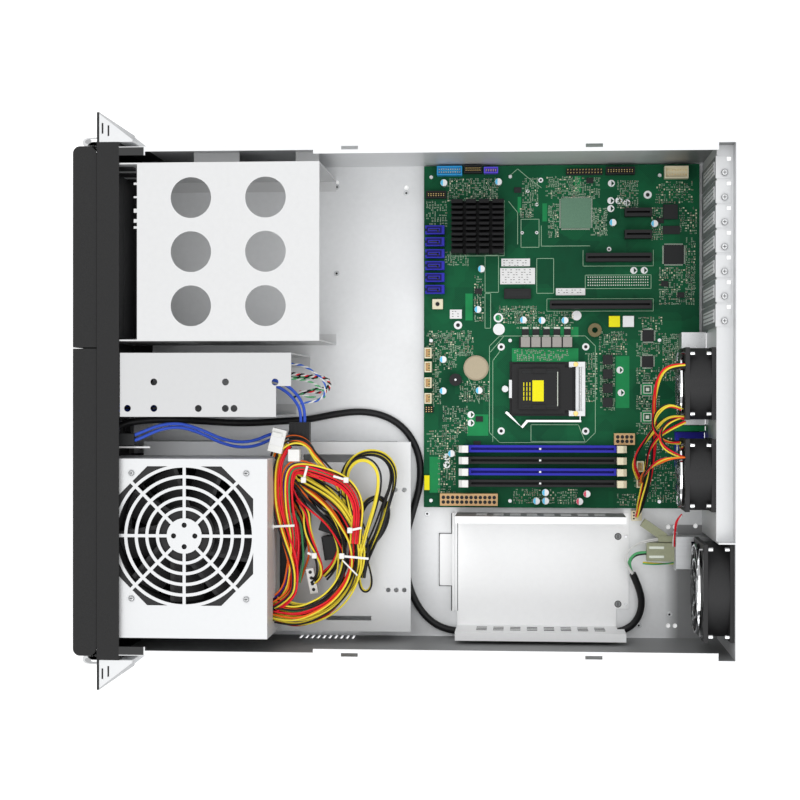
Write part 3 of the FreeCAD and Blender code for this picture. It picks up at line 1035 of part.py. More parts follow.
def spare_fan_wires():
    """Wires of the left rear fan, over the sockets to the spare plug beside the board."""
    x, face, z = SMALL_FAN_X[0] - 14.5, RECESS - FAN_DEPTH - 0.1, SMALL_FAN_Z + 27.8
    return [tube([(x, face, z), (x, 224.0, z), (-24.0, 215.5, 107.5), (-12.0, 211.5, 99.0), (4.0, 210.5, 87.5),
                  (22.0, 211.5, 75.0), (40.0, 212.5, 64.0), (58.0, 211.5, 52.0), (73.0, 209.0, 41.5),
                  (86.0, 205.5, 33.5), (96.5, 202.8, 26.5), (101.5, 201.5, 19.2),
                  (101.5, 201.5, SHEET + 9)], SPARE_WIRE_R)]


def header_fan_wires():
    """Wires of the middle rear fan to its header on the board."""
    x, face, z = SMALL_FAN_X[1] - 14.5, RECESS - FAN_DEPTH - 0.1, SMALL_FAN_Z + 27.8
    return [tube([(x, face, z), (x, 224.0, z), (49.5, 214.5, 103.5), (55.0, 208.5, 88.0), (60.5, 205.0, 70.0),
                  (66.0, 203.6, 51.0), (71.6, 204.1, 34.5), (71.6, 204.1, BOARD_TOP + 11)], HEADER_WIRE_R)]


# ---- every sub-part, by name -----------------------------------------------------------------
def nodes():
    """Node names and their solids."""
    made = {
        "chassis_base": chassis_base(), "rear_panel": rear_panel(), "slot_covers": slot_covers(),
        "screws_and_studs": screws_and_studs(), "front_frame": front_frame(),
        "left_door": door(-1), "right_door": door(1),
        "left_door_lock": door_lock(-1), "right_door_lock": door_lock(1), "bay_covers": bay_covers(),
        "power_button": button(POWER_X, 6.0), "reset_button": button(RESET_X, 3.0), "front_ports": front_ports(),
        "rack_ears": rack_ears(), "handles": handles(), "drive_cage": drive_cage(),
        "hard_drive_bracket": hard_drive_bracket(), "psu_shelf": psu_shelf(), "psu_case": psu_case(),
        "psu_board": psu_board(), "psu_fan_frame": psu_fan_frame(), "psu_fan_rotor": psu_fan_rotor(),
        "disk_tray": disk_tray(), "rear_fan_frames": rear_fan_frames(),
        "left_fan_rotor": small_fan_rotor(0), "middle_fan_rotor": small_fan_rotor(1),
        "right_fan_rotor": large_fan_rotor(), "fan_guards": fan_guards(), "ac_inlet": ac_inlet(),
        "motherboard": motherboard(), "cpu_socket": cpu_socket(), "socket_load_plate": socket_load_plate(),
        "socket_cover": socket_cover(), "socket_lever": socket_lever(), "dimm_slots": dimm_slots(),
        "chipset_heatsink": chipset_heatsink(), "expansion_slots": expansion_slots(),
        "sata_ports": sata_ports(), "board_connectors": board_connectors(), "capacitors": capacitors(),
        "board_parts": chokes() + board_chips() + [coin_cell()], "rear_io_ports": rear_io_ports(),
        "ac_lead": ac_lead(), "inlet_wires": inlet_wires(), "bracket_port_cable": bracket_port_cable(),
        "side_port_cable": side_port_cable(), "panel_wires": panel_wires(),
        "supply_wire_hank": supply_wire_hank(), "supply_wire_loop": supply_wire_loop(),
        "cable_plugs": cable_plugs(), "spare_fan_wires": spare_fan_wires(), "header_fan_wires": header_fan_wires()}
    for index in range(4):
        made[f"front_latch_{index + 1}"] = dimm_latch(index, -1)
        made[f"rear_latch_{index + 1}"] = dimm_latch(index, 1)
    return made


os.makedirs("parts", exist_ok=True)
for name, solids in nodes().items():
    shape = solids[0] if len(solids) == 1 else Part.makeCompound(solids)
    shape.exportStep(f"parts/{name}.step")
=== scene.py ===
"""Looks of the open rackmount server case, built over its CAD frame."""

import json
import logging
import math
import random
from dataclasses import dataclass
from enum import Enum

import bmesh
import bpy
from mathutils import Matrix, Vector

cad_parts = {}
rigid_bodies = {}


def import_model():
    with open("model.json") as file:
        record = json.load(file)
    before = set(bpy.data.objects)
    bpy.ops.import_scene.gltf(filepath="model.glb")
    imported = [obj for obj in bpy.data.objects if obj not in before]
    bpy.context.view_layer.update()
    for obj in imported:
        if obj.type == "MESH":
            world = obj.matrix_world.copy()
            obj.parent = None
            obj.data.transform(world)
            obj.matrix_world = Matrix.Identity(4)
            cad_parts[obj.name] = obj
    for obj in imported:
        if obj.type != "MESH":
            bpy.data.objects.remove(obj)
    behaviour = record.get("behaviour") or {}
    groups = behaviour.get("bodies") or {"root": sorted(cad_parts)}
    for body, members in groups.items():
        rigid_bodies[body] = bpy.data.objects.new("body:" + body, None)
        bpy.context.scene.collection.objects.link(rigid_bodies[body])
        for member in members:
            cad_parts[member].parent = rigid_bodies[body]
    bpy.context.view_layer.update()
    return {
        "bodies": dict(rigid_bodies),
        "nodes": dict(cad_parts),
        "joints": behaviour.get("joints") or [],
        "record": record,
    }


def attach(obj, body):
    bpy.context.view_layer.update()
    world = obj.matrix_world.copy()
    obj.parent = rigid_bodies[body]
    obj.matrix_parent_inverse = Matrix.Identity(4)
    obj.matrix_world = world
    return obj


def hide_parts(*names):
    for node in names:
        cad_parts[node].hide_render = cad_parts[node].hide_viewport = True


LOG = logging.getLogger("server_case")
MM = 0.001
CRISP = 0.0004              # half the width of a sharp change of tone, in metres
GLOSS_DRIFT = 0.08          # how far a finish's roughness drifts either way
GOLDEN_ANGLE = 2.399963     # spreads a bundle's wires evenly
ROUND = 6.3                 # a little over one turn, in radians
RIM_ANGLE = 0.7             # sharper edges of a round bar are its rims, in radians
SLOT_X, SLOT_PITCH, SLOTS = -192.9, 20.32, 7    # slot covers, in millimetres
PORT_X, PORT_PITCH, PORTS = -152.4, 10.6, 6     # drive ports on the board, in millimetres
Point = tuple[float, float, float]
Colour = tuple[float, float, float]


class Grain(Enum):
    """How the small-scale pattern of a finish is drawn out."""

    EVEN = (1.0, 1.0, 1.0)
    ALONG_Y = (1.0, 0.06, 1.0)


class Graph:
    """A material's or the world's shader nodes, added and joined in short calls."""

    def __init__(self, owner: bpy.types.Material | bpy.types.World) -> None:
        """Switches the owner's nodes on and keeps them."""
        owner.use_nodes = True
        self.nodes, self.links = owner.node_tree.nodes, owner.node_tree.links

    def feed(self, node: bpy.types.Node, inputs: dict[str | int, object]) -> bpy.types.Node:
        """Joins each given socket to the node's input of that name or number, or sets its value."""
        for key, value in inputs.items():
            if isinstance(value, bpy.types.NodeSocket):
                self.links.new(value, node.inputs[key])
            else:
                node.inputs[key].default_value = value
        return node

    def add(self, kind: str, inputs: dict[str | int, object] | None = None, **settings: str) -> bpy.types.Node:
        """Adds a node.

        Args:
            kind: Its type, without the word ShaderNode.
            inputs: What goes into its inputs.
            settings: Its other settings, such as an operation.

        Returns:
            The new node.
        """
        node = self.nodes.new("ShaderNode" + kind)
        for key, value in settings.items():
            setattr(node, key, value)
        return self.feed(node, inputs or {})

    def product(self, one: bpy.types.NodeSocket, other: bpy.types.NodeSocket | float) -> bpy.types.NodeSocket:
        """Returns the product of two values."""
        return self.add("Math", {0: one, 1: other}, operation="MULTIPLY").outputs[0]


@dataclass(frozen=True)
class Finish:
    """A surface finish with its colour, gloss and small-scale unevenness.

    Attributes:
        name: Name of the material.
        colour: Base colour, linear.
        metallic: Share of metal.
        roughness: Middle roughness.
        mottle: How far noise darkens or lightens the colour.
        cells: Size of the noise, in repeats per metre.
        relief: Depth of the bump, in metres.
        clear: Transmission of a see-through plastic.
        gleam: Strength of the plain reflection.
        grain: Direction in which the noise is drawn out.
    """

    name: str
    colour: Colour
    metallic: float = 0.0
    roughness: float = 0.5
    mottle: float = 0.12
    cells: float = 300.0
    relief: float = 0.00004
    clear: float = 0.0
    gleam: float = 0.35
    grain: Grain = Grain.EVEN

    def material(self) -> bpy.types.Material:
        """Makes the material, or returns the one already made."""
        found = bpy.data.materials.get(self.name)
        if found:
            return found
        made = bpy.data.materials.new(self.name)
        graph = Graph(made)
        where = graph.add("TexCoord").outputs["Object"]
        turn = graph.add("Mapping", {"Scale": self.grain.value, "Vector": where})
        noise = graph.add("TexNoise", {"Scale": self.cells, "Detail": 4.0, "Vector": turn.outputs["Vector"]})
        height = noise.outputs["Fac"]
        low = [c * (1 - self.mottle) for c in self.colour]
        high = [min(1.0, c * (1 + self.mottle)) for c in self.colour]
        tint = graph.add("Mix", {"A": (*low, 1), "B": (*high, 1), "Factor": height}, data_type="RGBA")
        gloss = graph.add("MapRange", {"To Min": max(0.02, self.roughness - GLOSS_DRIFT),
                                       "To Max": min(1.0, self.roughness + GLOSS_DRIFT), "Value": height})
        bump = graph.add("Bump", {"Strength": 0.5, "Distance": self.relief, "Height": height})
        graph.feed(graph.nodes["Principled BSDF"], {
            "Metallic": self.metallic, "Transmission Weight": self.clear, "Specular IOR Level": self.gleam,
            "Base Color": self.pattern(graph, where, tint.outputs["Result"]), "Roughness": gloss.outputs["Result"],
            "Normal": bump.outputs["Normal"]})
        return made

    def pattern(self, graph: Graph, where: bpy.types.NodeSocket, colour: bpy.types.NodeSocket) -> bpy.types.NodeSocket:
        """Returns the colour, unchanged in a plain finish."""
        return colour


@dataclass(frozen=True)
class BoardFinish(Finish):
    """Solder mask over copper: large areas that differ a little, and fine tracks.

    Attributes:
        tracks: Colour of the copper tracks.
        threshold: Random value of an area above which its tracks show.
        strength: How far they show through the mask.
    """

    tracks: Colour = (0.01, 0.17, 0.06)
    threshold: float = 0.6
    strength: float = 0.3

    def pattern(self, graph: Graph, where: bpy.types.NodeSocket, colour: bpy.types.NodeSocket) -> bpy.types.NodeSocket:
        """Lays areas of fine tracks under the mask.

        Args:
            graph: Nodes of the material that is being built.
            where: Place on the board.
            colour: The mask's mottled colour.

        Returns:
            The colour with copper showing through.
        """
        for angle, lines, cells in ((0.0, 300.0, 30.0), (math.pi / 4, 260.0, 22.0), (math.pi / 2, 340.0, 40.0)):
            turned = graph.add("Mapping", {"Rotation": (0, 0, angle), "Vector": where}).outputs["Vector"]
            wave = graph.add("TexWave", {"Scale": lines, "Vector": turned})
            area = graph.add("TexVoronoi", {"Scale": cells, "Vector": turned}, distance="CHEBYCHEV")
            pick = graph.add("SeparateColor", {"Color": area.outputs["Color"]})
            chosen = graph.add("Math", {0: pick.outputs[0], 1: self.threshold}, operation="GREATER_THAN")
            share = graph.product(graph.product(wave.outputs["Fac"], chosen.outputs[0]), self.strength)
            colour = graph.add("Mix", {"A": colour, "B": (*self.tracks, 1), "Factor": share},
                               data_type="RGBA").outputs["Result"]
        return colour


@dataclass(frozen=True)
class Zone:
    """A darker or paler part of a finish.

    Attributes:
        low: Lowest corner, in metres.
        high: Highest corner, in metres.
        share: What the colour is multiplied by.
        soft: Half the width of its edges along Y, in metres.
    """

    low: Point
    high: Point
    share: float
    soft: float = CRISP


@dataclass(frozen=True)
class ZonedFinish(Finish):
    """A sheet-metal finish toned in a few zones: painted shade on the chassis sheet, and a pale bare zone on the front
    frame's coat.

    Attributes:
        zones: The zones, toned one after another.
    """

    zones: tuple[Zone, ...] = ()

    def pattern(self, graph: Graph, where: bpy.types.NodeSocket, colour: bpy.types.NodeSocket) -> bpy.types.NodeSocket:
        """Tones the zones.

        Args:
            graph: Nodes of the material that is being built.
            where: Place on the sheet.
            colour: The sheet's mottled colour.

        Returns:
            The colour, toned in the zones.
        """
        axes = graph.add("SeparateXYZ", {"Vector": where})
        for zone in self.zones:
            mask = None
            for axis, edge in enumerate((CRISP, zone.soft, CRISP)):
                for limit, inward in ((zone.low[axis], edge), (zone.high[axis], -edge)):
                    ramp = graph.add("MapRange", {"From Min": limit - inward, "From Max": limit + inward,
                                                  "Value": axes.outputs[axis]}).outputs["Result"]
                    mask = ramp if mask is None else graph.product(mask, ramp)
            colour = graph.add("Mix", {"A": colour, "B": (zone.share,) * 3 + (1,), "Factor": mask},
                               data_type="RGBA", blend_type="MULTIPLY").outputs["Result"]
        return colour


# The chassis sheet's zones are painted shade: near black on the inner walls and lips behind the front frame, darker on
# the floor before the right rear fan and on the left wall's rear end.
ZINC = ZonedFinish("zinc_sheet", (0.76, 0.77, 0.78), 0.4, 0.45, 0.05, 220, 0.00002,
                   zones=(Zone((-0.2117, -1, 0.05), (0.2117, -0.2143, 1), 0.045),
                          Zone((0.11, 0.233, -1), (1, 1, 0.02), 0.35, 0.006),
                          Zone((-0.2116, 0.222, 0.01), (-0.2095, 1, 0.1305), 0.3, 0.02)))
ZINC_PALE = Finish("pale_zinc", (0.68, 0.69, 0.70), 0.35, 0.45, 0.03, 260, 0.00002)
CAGE_ZINC = Finish("cage_zinc", (0.635, 0.64, 0.645), 0.35, 0.45, 0.04, 240, 0.00002)
TRAY_ZINC = Finish("tray_zinc", (0.88, 0.885, 0.89), 0.3, 0.45, 0.03, 240, 0.00002)
ZINC_DULL = Finish("dull_zinc", (0.56, 0.565, 0.57), 0.35, 0.45, 0.03, 260, 0.00002)
BRUSHED = Finish("brushed_zinc", (0.50, 0.51, 0.52), 0.8, 0.35, 0.12, 900, 0.00002, grain=Grain.ALONG_Y)
# Painted shade: a darker zinc for sheet faces that stand in shade, the chassis's right inner wall and the tray's near
# wall; it also colours the heads of the tray's screws.
SHADED_ZINC = Finish("shaded_zinc", (0.25, 0.255, 0.26), 0.3, 0.5, 0.12, 160, 0.00002)
COVER_GREY = Finish("cover_grey", (0.30, 0.31, 0.32), 0.3, 0.5, 0.06, 300)
DARK_COAT = Finish("dark_powder_coat", (0.0215, 0.0215, 0.022), 0.0, 0.62, 0.5, 1400, 0.00008, gleam=0.2)
FRAME_COAT = ZonedFinish("front_frame_coat", (0.0215, 0.0215, 0.022), 0.0, 0.62, 0.5, 1400, 0.00008, gleam=0.2,
                         zones=(Zone((0.0135, -0.2526, -1), (0.0478, -0.2, 0.02), 28.0),))
CHROME = Finish("chrome_plate", (0.78, 0.79, 0.80), 1.0, 0.12, 0.03, 500, 0.00001)
SCREW = Finish("screw_plate", (0.60, 0.61, 0.62), 0.9, 0.3, 0.1, 900)
TIN = Finish("tinned_metal", (0.62, 0.66, 0.58), 0.3, 0.45, 0.15, 1500)
PAD = Finish("solder_pad", (0.34, 0.43, 0.32), 0.2, 0.45, 0.25, 1500)
CELL = Finish("cell_steel", (0.40, 0.34, 0.24), 0.45, 0.4, 0.1, 900)
GOLD = Finish("gold_contacts", (0.80, 0.58, 0.22), 0.9, 0.3, 0.1, 1500)
FAN_BLACK = Finish("fan_plastic", (0.028, 0.028, 0.029), 0.0, 0.5, 0.25, 1200, gleam=0.18)
BLACK = Finish("black_moulding", (0.012, 0.012, 0.013), 0.0, 0.5, 0.2, 1500, gleam=0.25)
CHIP_BLACK = Finish("chip_resin", (0.020, 0.021, 0.022), 0.0, 0.55, 0.2, 1800, gleam=0.2)
HEATSINK = Finish("anodised_black", (0.010, 0.010, 0.011), 0.3, 0.5, 0.2, 900, gleam=0.2, grain=Grain.ALONG_Y)
BLUE_PLASTIC = Finish("blue_moulding", (0.022, 0.022, 0.42), 0.0, 0.4, 0.1, 900, gleam=0.2)
LIGHT_BLUE = Finish("light_blue_moulding", (0.03, 0.32, 0.68), 0.0, 0.4, 0.1, 900, gleam=0.2)
PURPLE = Finish("purple_moulding", (0.12, 0.08, 0.72), 0.0, 0.4, 0.1, 900, gleam=0.2)
CREAM = Finish("cream_moulding", (0.78, 0.72, 0.52), 0.0, 0.45, 0.08, 900)
TAN = Finish("tan_moulding", (0.60, 0.38, 0.18), 0.0, 0.45, 0.1, 900)
WHITE = Finish("white_moulding", (0.80, 0.80, 0.78), 0.0, 0.4, 0.04, 900)
PAPER = Finish("blank_paper", (0.80, 0.80, 0.80), 0.0, 0.6, 0.03, 900)
YELLOW_PAPER = Finish("yellow_paper", (0.88, 0.80, 0.01), 0.0, 0.55, 0.04, 900, gleam=0.15)
CLEAR = Finish("soft_clear_boot", (0.38, 0.40, 0.25), 0.0, 0.35, 0.15, 400, clear=0.3)
LEAD = Finish("lead_sheath", (0.009, 0.009, 0.010), 0.0, 0.42, 0.25, 700, gleam=0.3)
BLUE_SHEATH = Finish("blue_sheath", (0.008, 0.045, 0.52), 0.0, 0.36, 0.1, 600, gleam=0.3)
MASK = BoardFinish("solder_mask", (0.004, 0.068, 0.029), 0.0, 0.55, 0.2, 90, 0.00002, gleam=0.1)
POUR = Finish("copper_pour", (0.012, 0.24, 0.075), 0.0, 0.5, 0.12, 200, 0.00002, gleam=0.12)
# Painted shade: a darker copy of the blue plastic for the recesses of the drive ports.
RECESS_SHADE_BLUE = Finish("blue_recess_shade", (0.006, 0.006, 0.10), 0.0, 0.5, 0.1, 900, gleam=0.15)
SILK = Finish("printed_line", (0.34, 0.52, 0.36), 0.0, 0.6, 0.05, 900, gleam=0.1)
LAMINATE = Finish("bare_laminate", (0.13, 0.25, 0.17), 0.0, 0.6, 0.35, 1500, gleam=0.15)
BROWN_PART = Finish("brown_ceramic", (0.20, 0.13, 0.08), 0.0, 0.5, 0.2, 1500, gleam=0.2)
COPPER = Finish("copper_winding", (0.16, 0.13, 0.06), 0.3, 0.5, 0.5, 1500, 0.0003)
CHOKE = Finish("ferrite_grey", (0.34, 0.32, 0.30), 0.1, 0.5, 0.25, 1500)
CAN_TOP = Finish("capacitor_can", (0.55, 0.58, 0.60), 0.5, 0.35, 0.06, 900)
CAN_WHITE = Finish("capacitor_white", (0.84, 0.85, 0.86), 0.0, 0.4, 0.04, 900)
CAN_BLUE = Finish("capacitor_blue", (0.10, 0.55, 0.85), 0.0, 0.4, 0.04, 900)
CAN_RED = Finish("capacitor_red", (0.72, 0.06, 0.12), 0.0, 0.4, 0.04, 900)


class Wire(Enum):
    """Insulation colours of the single wires."""

    YELLOW = (0.94, 0.78, 0.004)
    BLACK = (0.010, 0.010, 0.011)
    RED = (0.76, 0.010, 0.024)
    ORANGE = (0.86, 0.14, 0.01)
    PURPLE = (0.12, 0.02, 0.40)
    GREEN = (0.012, 0.22, 0.05)
    WHITE = (0.75, 0.75, 0.74)
    BLUE = (0.03, 0.12, 0.55)

    def finish(self) -> Finish:
        """Returns the insulation's finish."""
        return Finish(f"wire_{self.name.lower()}", self.value, 0.0, 0.38, 0.08, 900, gleam=0.25)


class Piece:
    """One object of the visual model, gathered from simple shapes in millimetres."""

    def __init__(self, name: str) -> None:
        """Starts an empty piece with that name."""
        self.name = name
        self.mesh = bmesh.new()
        self.finishes: list[Finish] = []
        self.current = 0

    def use(self, finish: Finish) -> "Piece":
        """Gives the shapes that follow this finish."""
        if finish not in self.finishes:
            self.finishes.append(finish)
        self.current = self.finishes.index(finish)
        return self

    def take(self, verts: list[bmesh.types.BMVert], bevel: float = 0.0, sharper: float = -1.0) -> None:
        """Puts the current finish on new faces and rounds their edges.

        Args:
            verts: Vertices of the new faces.
            bevel: Width of the rounded edges, or 0.
            sharper: Least angle between the faces at an edge that is rounded, in radians.
        """
        for face in {f for v in verts for f in v.link_faces}:
            face.material_index = self.current
        if not bevel:
            return
        edges = [e for e in {e for v in verts for e in v.link_edges} if e.calc_face_angle(0) > sharper]
        made = bmesh.ops.bevel(self.mesh, geom=edges, offset=bevel * MM, segments=2, profile=0.5, affect="EDGES",
                               material=-1, clamp_overlap=True)
        for face in made["faces"]:
            face.material_index = self.current

    def block(self, low: Point, high: Point, bevel: float = 0.0, turn: float = 0.0) -> None:
        """Adds a box.

        Args:
            low: Lowest corner.
            high: Highest corner.
            bevel: Width of the rounded edges, or 0.
            turn: Turn about the vertical through its middle, in radians.
        """
        middle = (Vector(low) + Vector(high)) / 2 * MM
        size = (Vector(high) - Vector(low)) * MM
        place = Matrix.Translation(middle) @ Matrix.Rotation(turn, 4, "Z") @ Matrix.Diagonal((*size, 1))
        self.take(bmesh.ops.create_cube(self.mesh, size=1.0, matrix=place)["verts"], bevel)

    def rod(self, at: Point, radius: float, length: float, axis: str = "z", sides: int = 24,
            top: float | None = None, bevel: float = 0.0) -> None:
        """Adds a round bar or cone.

        Args:
            at: Middle of its first end.
            radius: Radius there.
            length: Length along the axis.
            axis: "y" or "z".
            sides: Number of sides.
            top: Radius at the far end, if it differs.
            bevel: Width of the rounded rims.
        """
        turn = Matrix.Rotation(-math.pi / 2, 4, "X") if axis == "y" else Matrix.Identity(4)
        place = Matrix.Translation(Vector(at) * MM) @ turn @ Matrix.Translation((0, 0, length / 2 * MM))
        verts = bmesh.ops.create_cone(self.mesh, cap_ends=True, segments=sides, radius1=radius * MM,
                                      radius2=(radius if top is None else top) * MM, depth=length * MM,
                                      matrix=place)["verts"]
        self.take(verts, bevel, RIM_ANGLE)

    def slab(self, outline: list[tuple[float, float]], low: float, high: float) -> None:
        """Adds an upright prism on an outline.

        Args:
            outline: Corners in X and Y.
            low: Height of its underside.
            high: Height of its top.
        """
        verts = [self.mesh.verts.new((x * MM, y * MM, low * MM)) for x, y in outline]
        face = self.mesh.faces.new(verts)
        face.normal_update()
        if face.normal.z > 0:
            face.normal_flip()
        grown = bmesh.ops.extrude_face_region(self.mesh, geom=[face], use_keep_orig=True)["geom"]
        top = [g for g in grown if isinstance(g, bmesh.types.BMVert)]
        bmesh.ops.translate(self.mesh, vec=(0, 0, (high - low) * MM), verts=top)
        self.take(verts + top)

    def stroke(self, start: tuple[float, float], end: tuple[float, float], width: float, low: float,
               high: float) -> None:
        """Adds a straight strip between two points in plan."""
        run = Vector(end) - Vector(start)
        middle = (Vector(end) + Vector(start)) / 2
        reach = run.length / 2 + width / 2
        self.block((middle.x - reach, middle.y - width / 2, low), (middle.x + reach, middle.y + width / 2, high),
                   turn=math.atan2(run.y, run.x))

    def cross(self, x: float, y: float, low: float, reach: float, half: float) -> None:
        """Adds the two bars of a cross-shaped recess in a screw's head."""
        self.block((x - reach, y - half, low), (x + reach, y + half, low + 0.25))
        self.block((x - half, y - reach, low), (x + half, y + reach, low + 0.25))

    def done(self, body: str = "case") -> None:
        """Closes the piece into an object that rides on a CAD body."""
        bmesh.ops.recalc_face_normals(self.mesh, faces=self.mesh.faces)
        data = bpy.data.meshes.new(self.name)
        self.mesh.to_mesh(data)
        self.mesh.free()
        for finish in self.finishes:
            data.materials.append(finish.material())
        made = bpy.data.objects.new(self.name, data)
        bpy.context.scene.collection.objects.link(made)
        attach(made, body)
        LOG.info("%s: %d faces", self.name, len(data.polygons))


def spline_points(points: list[Point], per_run: int = 6) -> list[Vector]:
    """Samples the smooth route that a cord takes.

    Args:
        points: Control points, in millimetres.
        per_run: Samples along each piece.

    Returns:
        Points on the route, in millimetres.
    """
    corners = [Vector(p) for p in points]
    route = [corners[0]]
    last = len(corners) - 2
    for i in range(1, len(corners) - 1):
        start = corners[0] if i == 1 else (corners[i - 1] + corners[i]) / 2
        end = corners[-1] if i == last else (corners[i] + corners[i + 1]) / 2
        for k in range(1, per_run + 1):
            t = k / per_run
            route.append(start * (1 - t) ** 2 + corners[i] * 2 * t * (1 - t) + end * t * t)
    return route


@dataclass
class Cord:
    """A single free cord on a smooth curve.

    Attributes:
        name: Name of the piece.
        points: Control points of its route, in millimetres.
        thick: Diameter, in millimetres.
        finish: Its sheath.
        far_end: What is on its far end; not used.
        stiffness: How it bends; not used.
    """

    name: str
    points: list[Point]
    thick: float
    finish: Finish
    far_end: str
    stiffness: str

    def build(self) -> bpy.types.Object:
        data = bpy.data.curves.new(self.name, "CURVE")
        data.dimensions = "3D"
        data.bevel_depth = self.thick / 2 * MM
        data.bevel_resolution = 3
        data.resolution_u = 5
        data.use_fill_caps = True
        spline = data.splines.new("NURBS")
        spline.points.add(len(self.points) - 1)
        for point, place in zip(spline.points, self.points):
            point.co = (*(c * MM for c in place), 1)
        spline.order_u = 3
        spline.use_endpoint_u = True
        data.materials.append(self.finish.material())
        made = bpy.data.objects.new(self.name, data)
        bpy.context.scene.collection.objects.link(made)
        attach(made, "case")
        return made


@dataclass
class Bundle:
    """Several wires that run together as one rope.

    Attributes:
        name: Name of the piece.
        points: Control points of the bundle's middle, in millimetres.
        wires: Colour of each wire.
        wire: Diameter of a wire.
        spread: Radius over which the wires' middles lie.
        turns: Turns that the wires make about each other over the route.
        flat: Share of the spread that is kept upright.
        seed: Seed of the wires' places.
        far_end: What is on its far end; not used.
    """

    name: str
    points: list[Point]
    wires: list[Wire]
    wire: float = 1.9
    spread: float = 4.0
    turns: float = 0.6
    flat: float = 1.0
    seed: int = 1
    far_end: str = "object"

    def build(self) -> bpy.types.Object:
        """Returns:
            The finished object.
        """
        chance = random.Random(self.seed)
        route = spline_points(self.points, 5)
        data = bpy.data.curves.new(self.name + "_line", "CURVE")
        data.dimensions = "3D"
        data.bevel_depth = self.wire / 2 * MM
        data.bevel_resolution = 2
        data.use_fill_caps = True
        colours = list(dict.fromkeys(self.wires))
        for colour in colours:
            data.materials.append(colour.finish().material())
        count = len(self.wires)
        for i, colour in enumerate(self.wires):
            share = math.sqrt((i + 0.5) / count)
            angle = i * GOLDEN_ANGLE + chance.uniform(-0.3, 0.3)
            wave, phase = chance.uniform(0.5, 2.0), chance.uniform(0, ROUND)
            spline = data.splines.new("POLY")
            spline.points.add(len(route) - 1)
            for k, middle in enumerate(route):
                ahead = route[min(k + 1, len(route) - 1)] - route[max(k - 1, 0)]
                side = ahead.cross(Vector((0, 0, 1)))
                side = side.normalized() if side.length > 1e-6 else Vector((1, 0, 0))
                lift = side.cross(ahead).normalized()
                t = k / (len(route) - 1)
                turn = angle + 2 * math.pi * self.turns * t
                reach = self.spread * share * (1 + 0.3 * math.sin(phase + wave * ROUND * t))
                place = middle + side * (reach * math.cos(turn)) + lift * (reach * self.flat * math.sin(turn))
                spline.points[k].co = (*(place * MM), 1)
            spline.material_index = colours.index(colour)
        line = bpy.data.objects.new(self.name + "_line", data)
        bpy.context.scene.collection.objects.link(line)
        bpy.context.view_layer.update()
        mesh = bpy.data.meshes.new_from_object(line.evaluated_get(bpy.context.evaluated_depsgraph_get()))
        mesh.name = self.name
        mesh.shade_smooth()
        made = bpy.data.objects.new(self.name, mesh)
        bpy.context.scene.collection.objects.link(made)
        bpy.data.objects.remove(line)
        bpy.data.curves.remove(data)
        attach(made, "case")
        return made


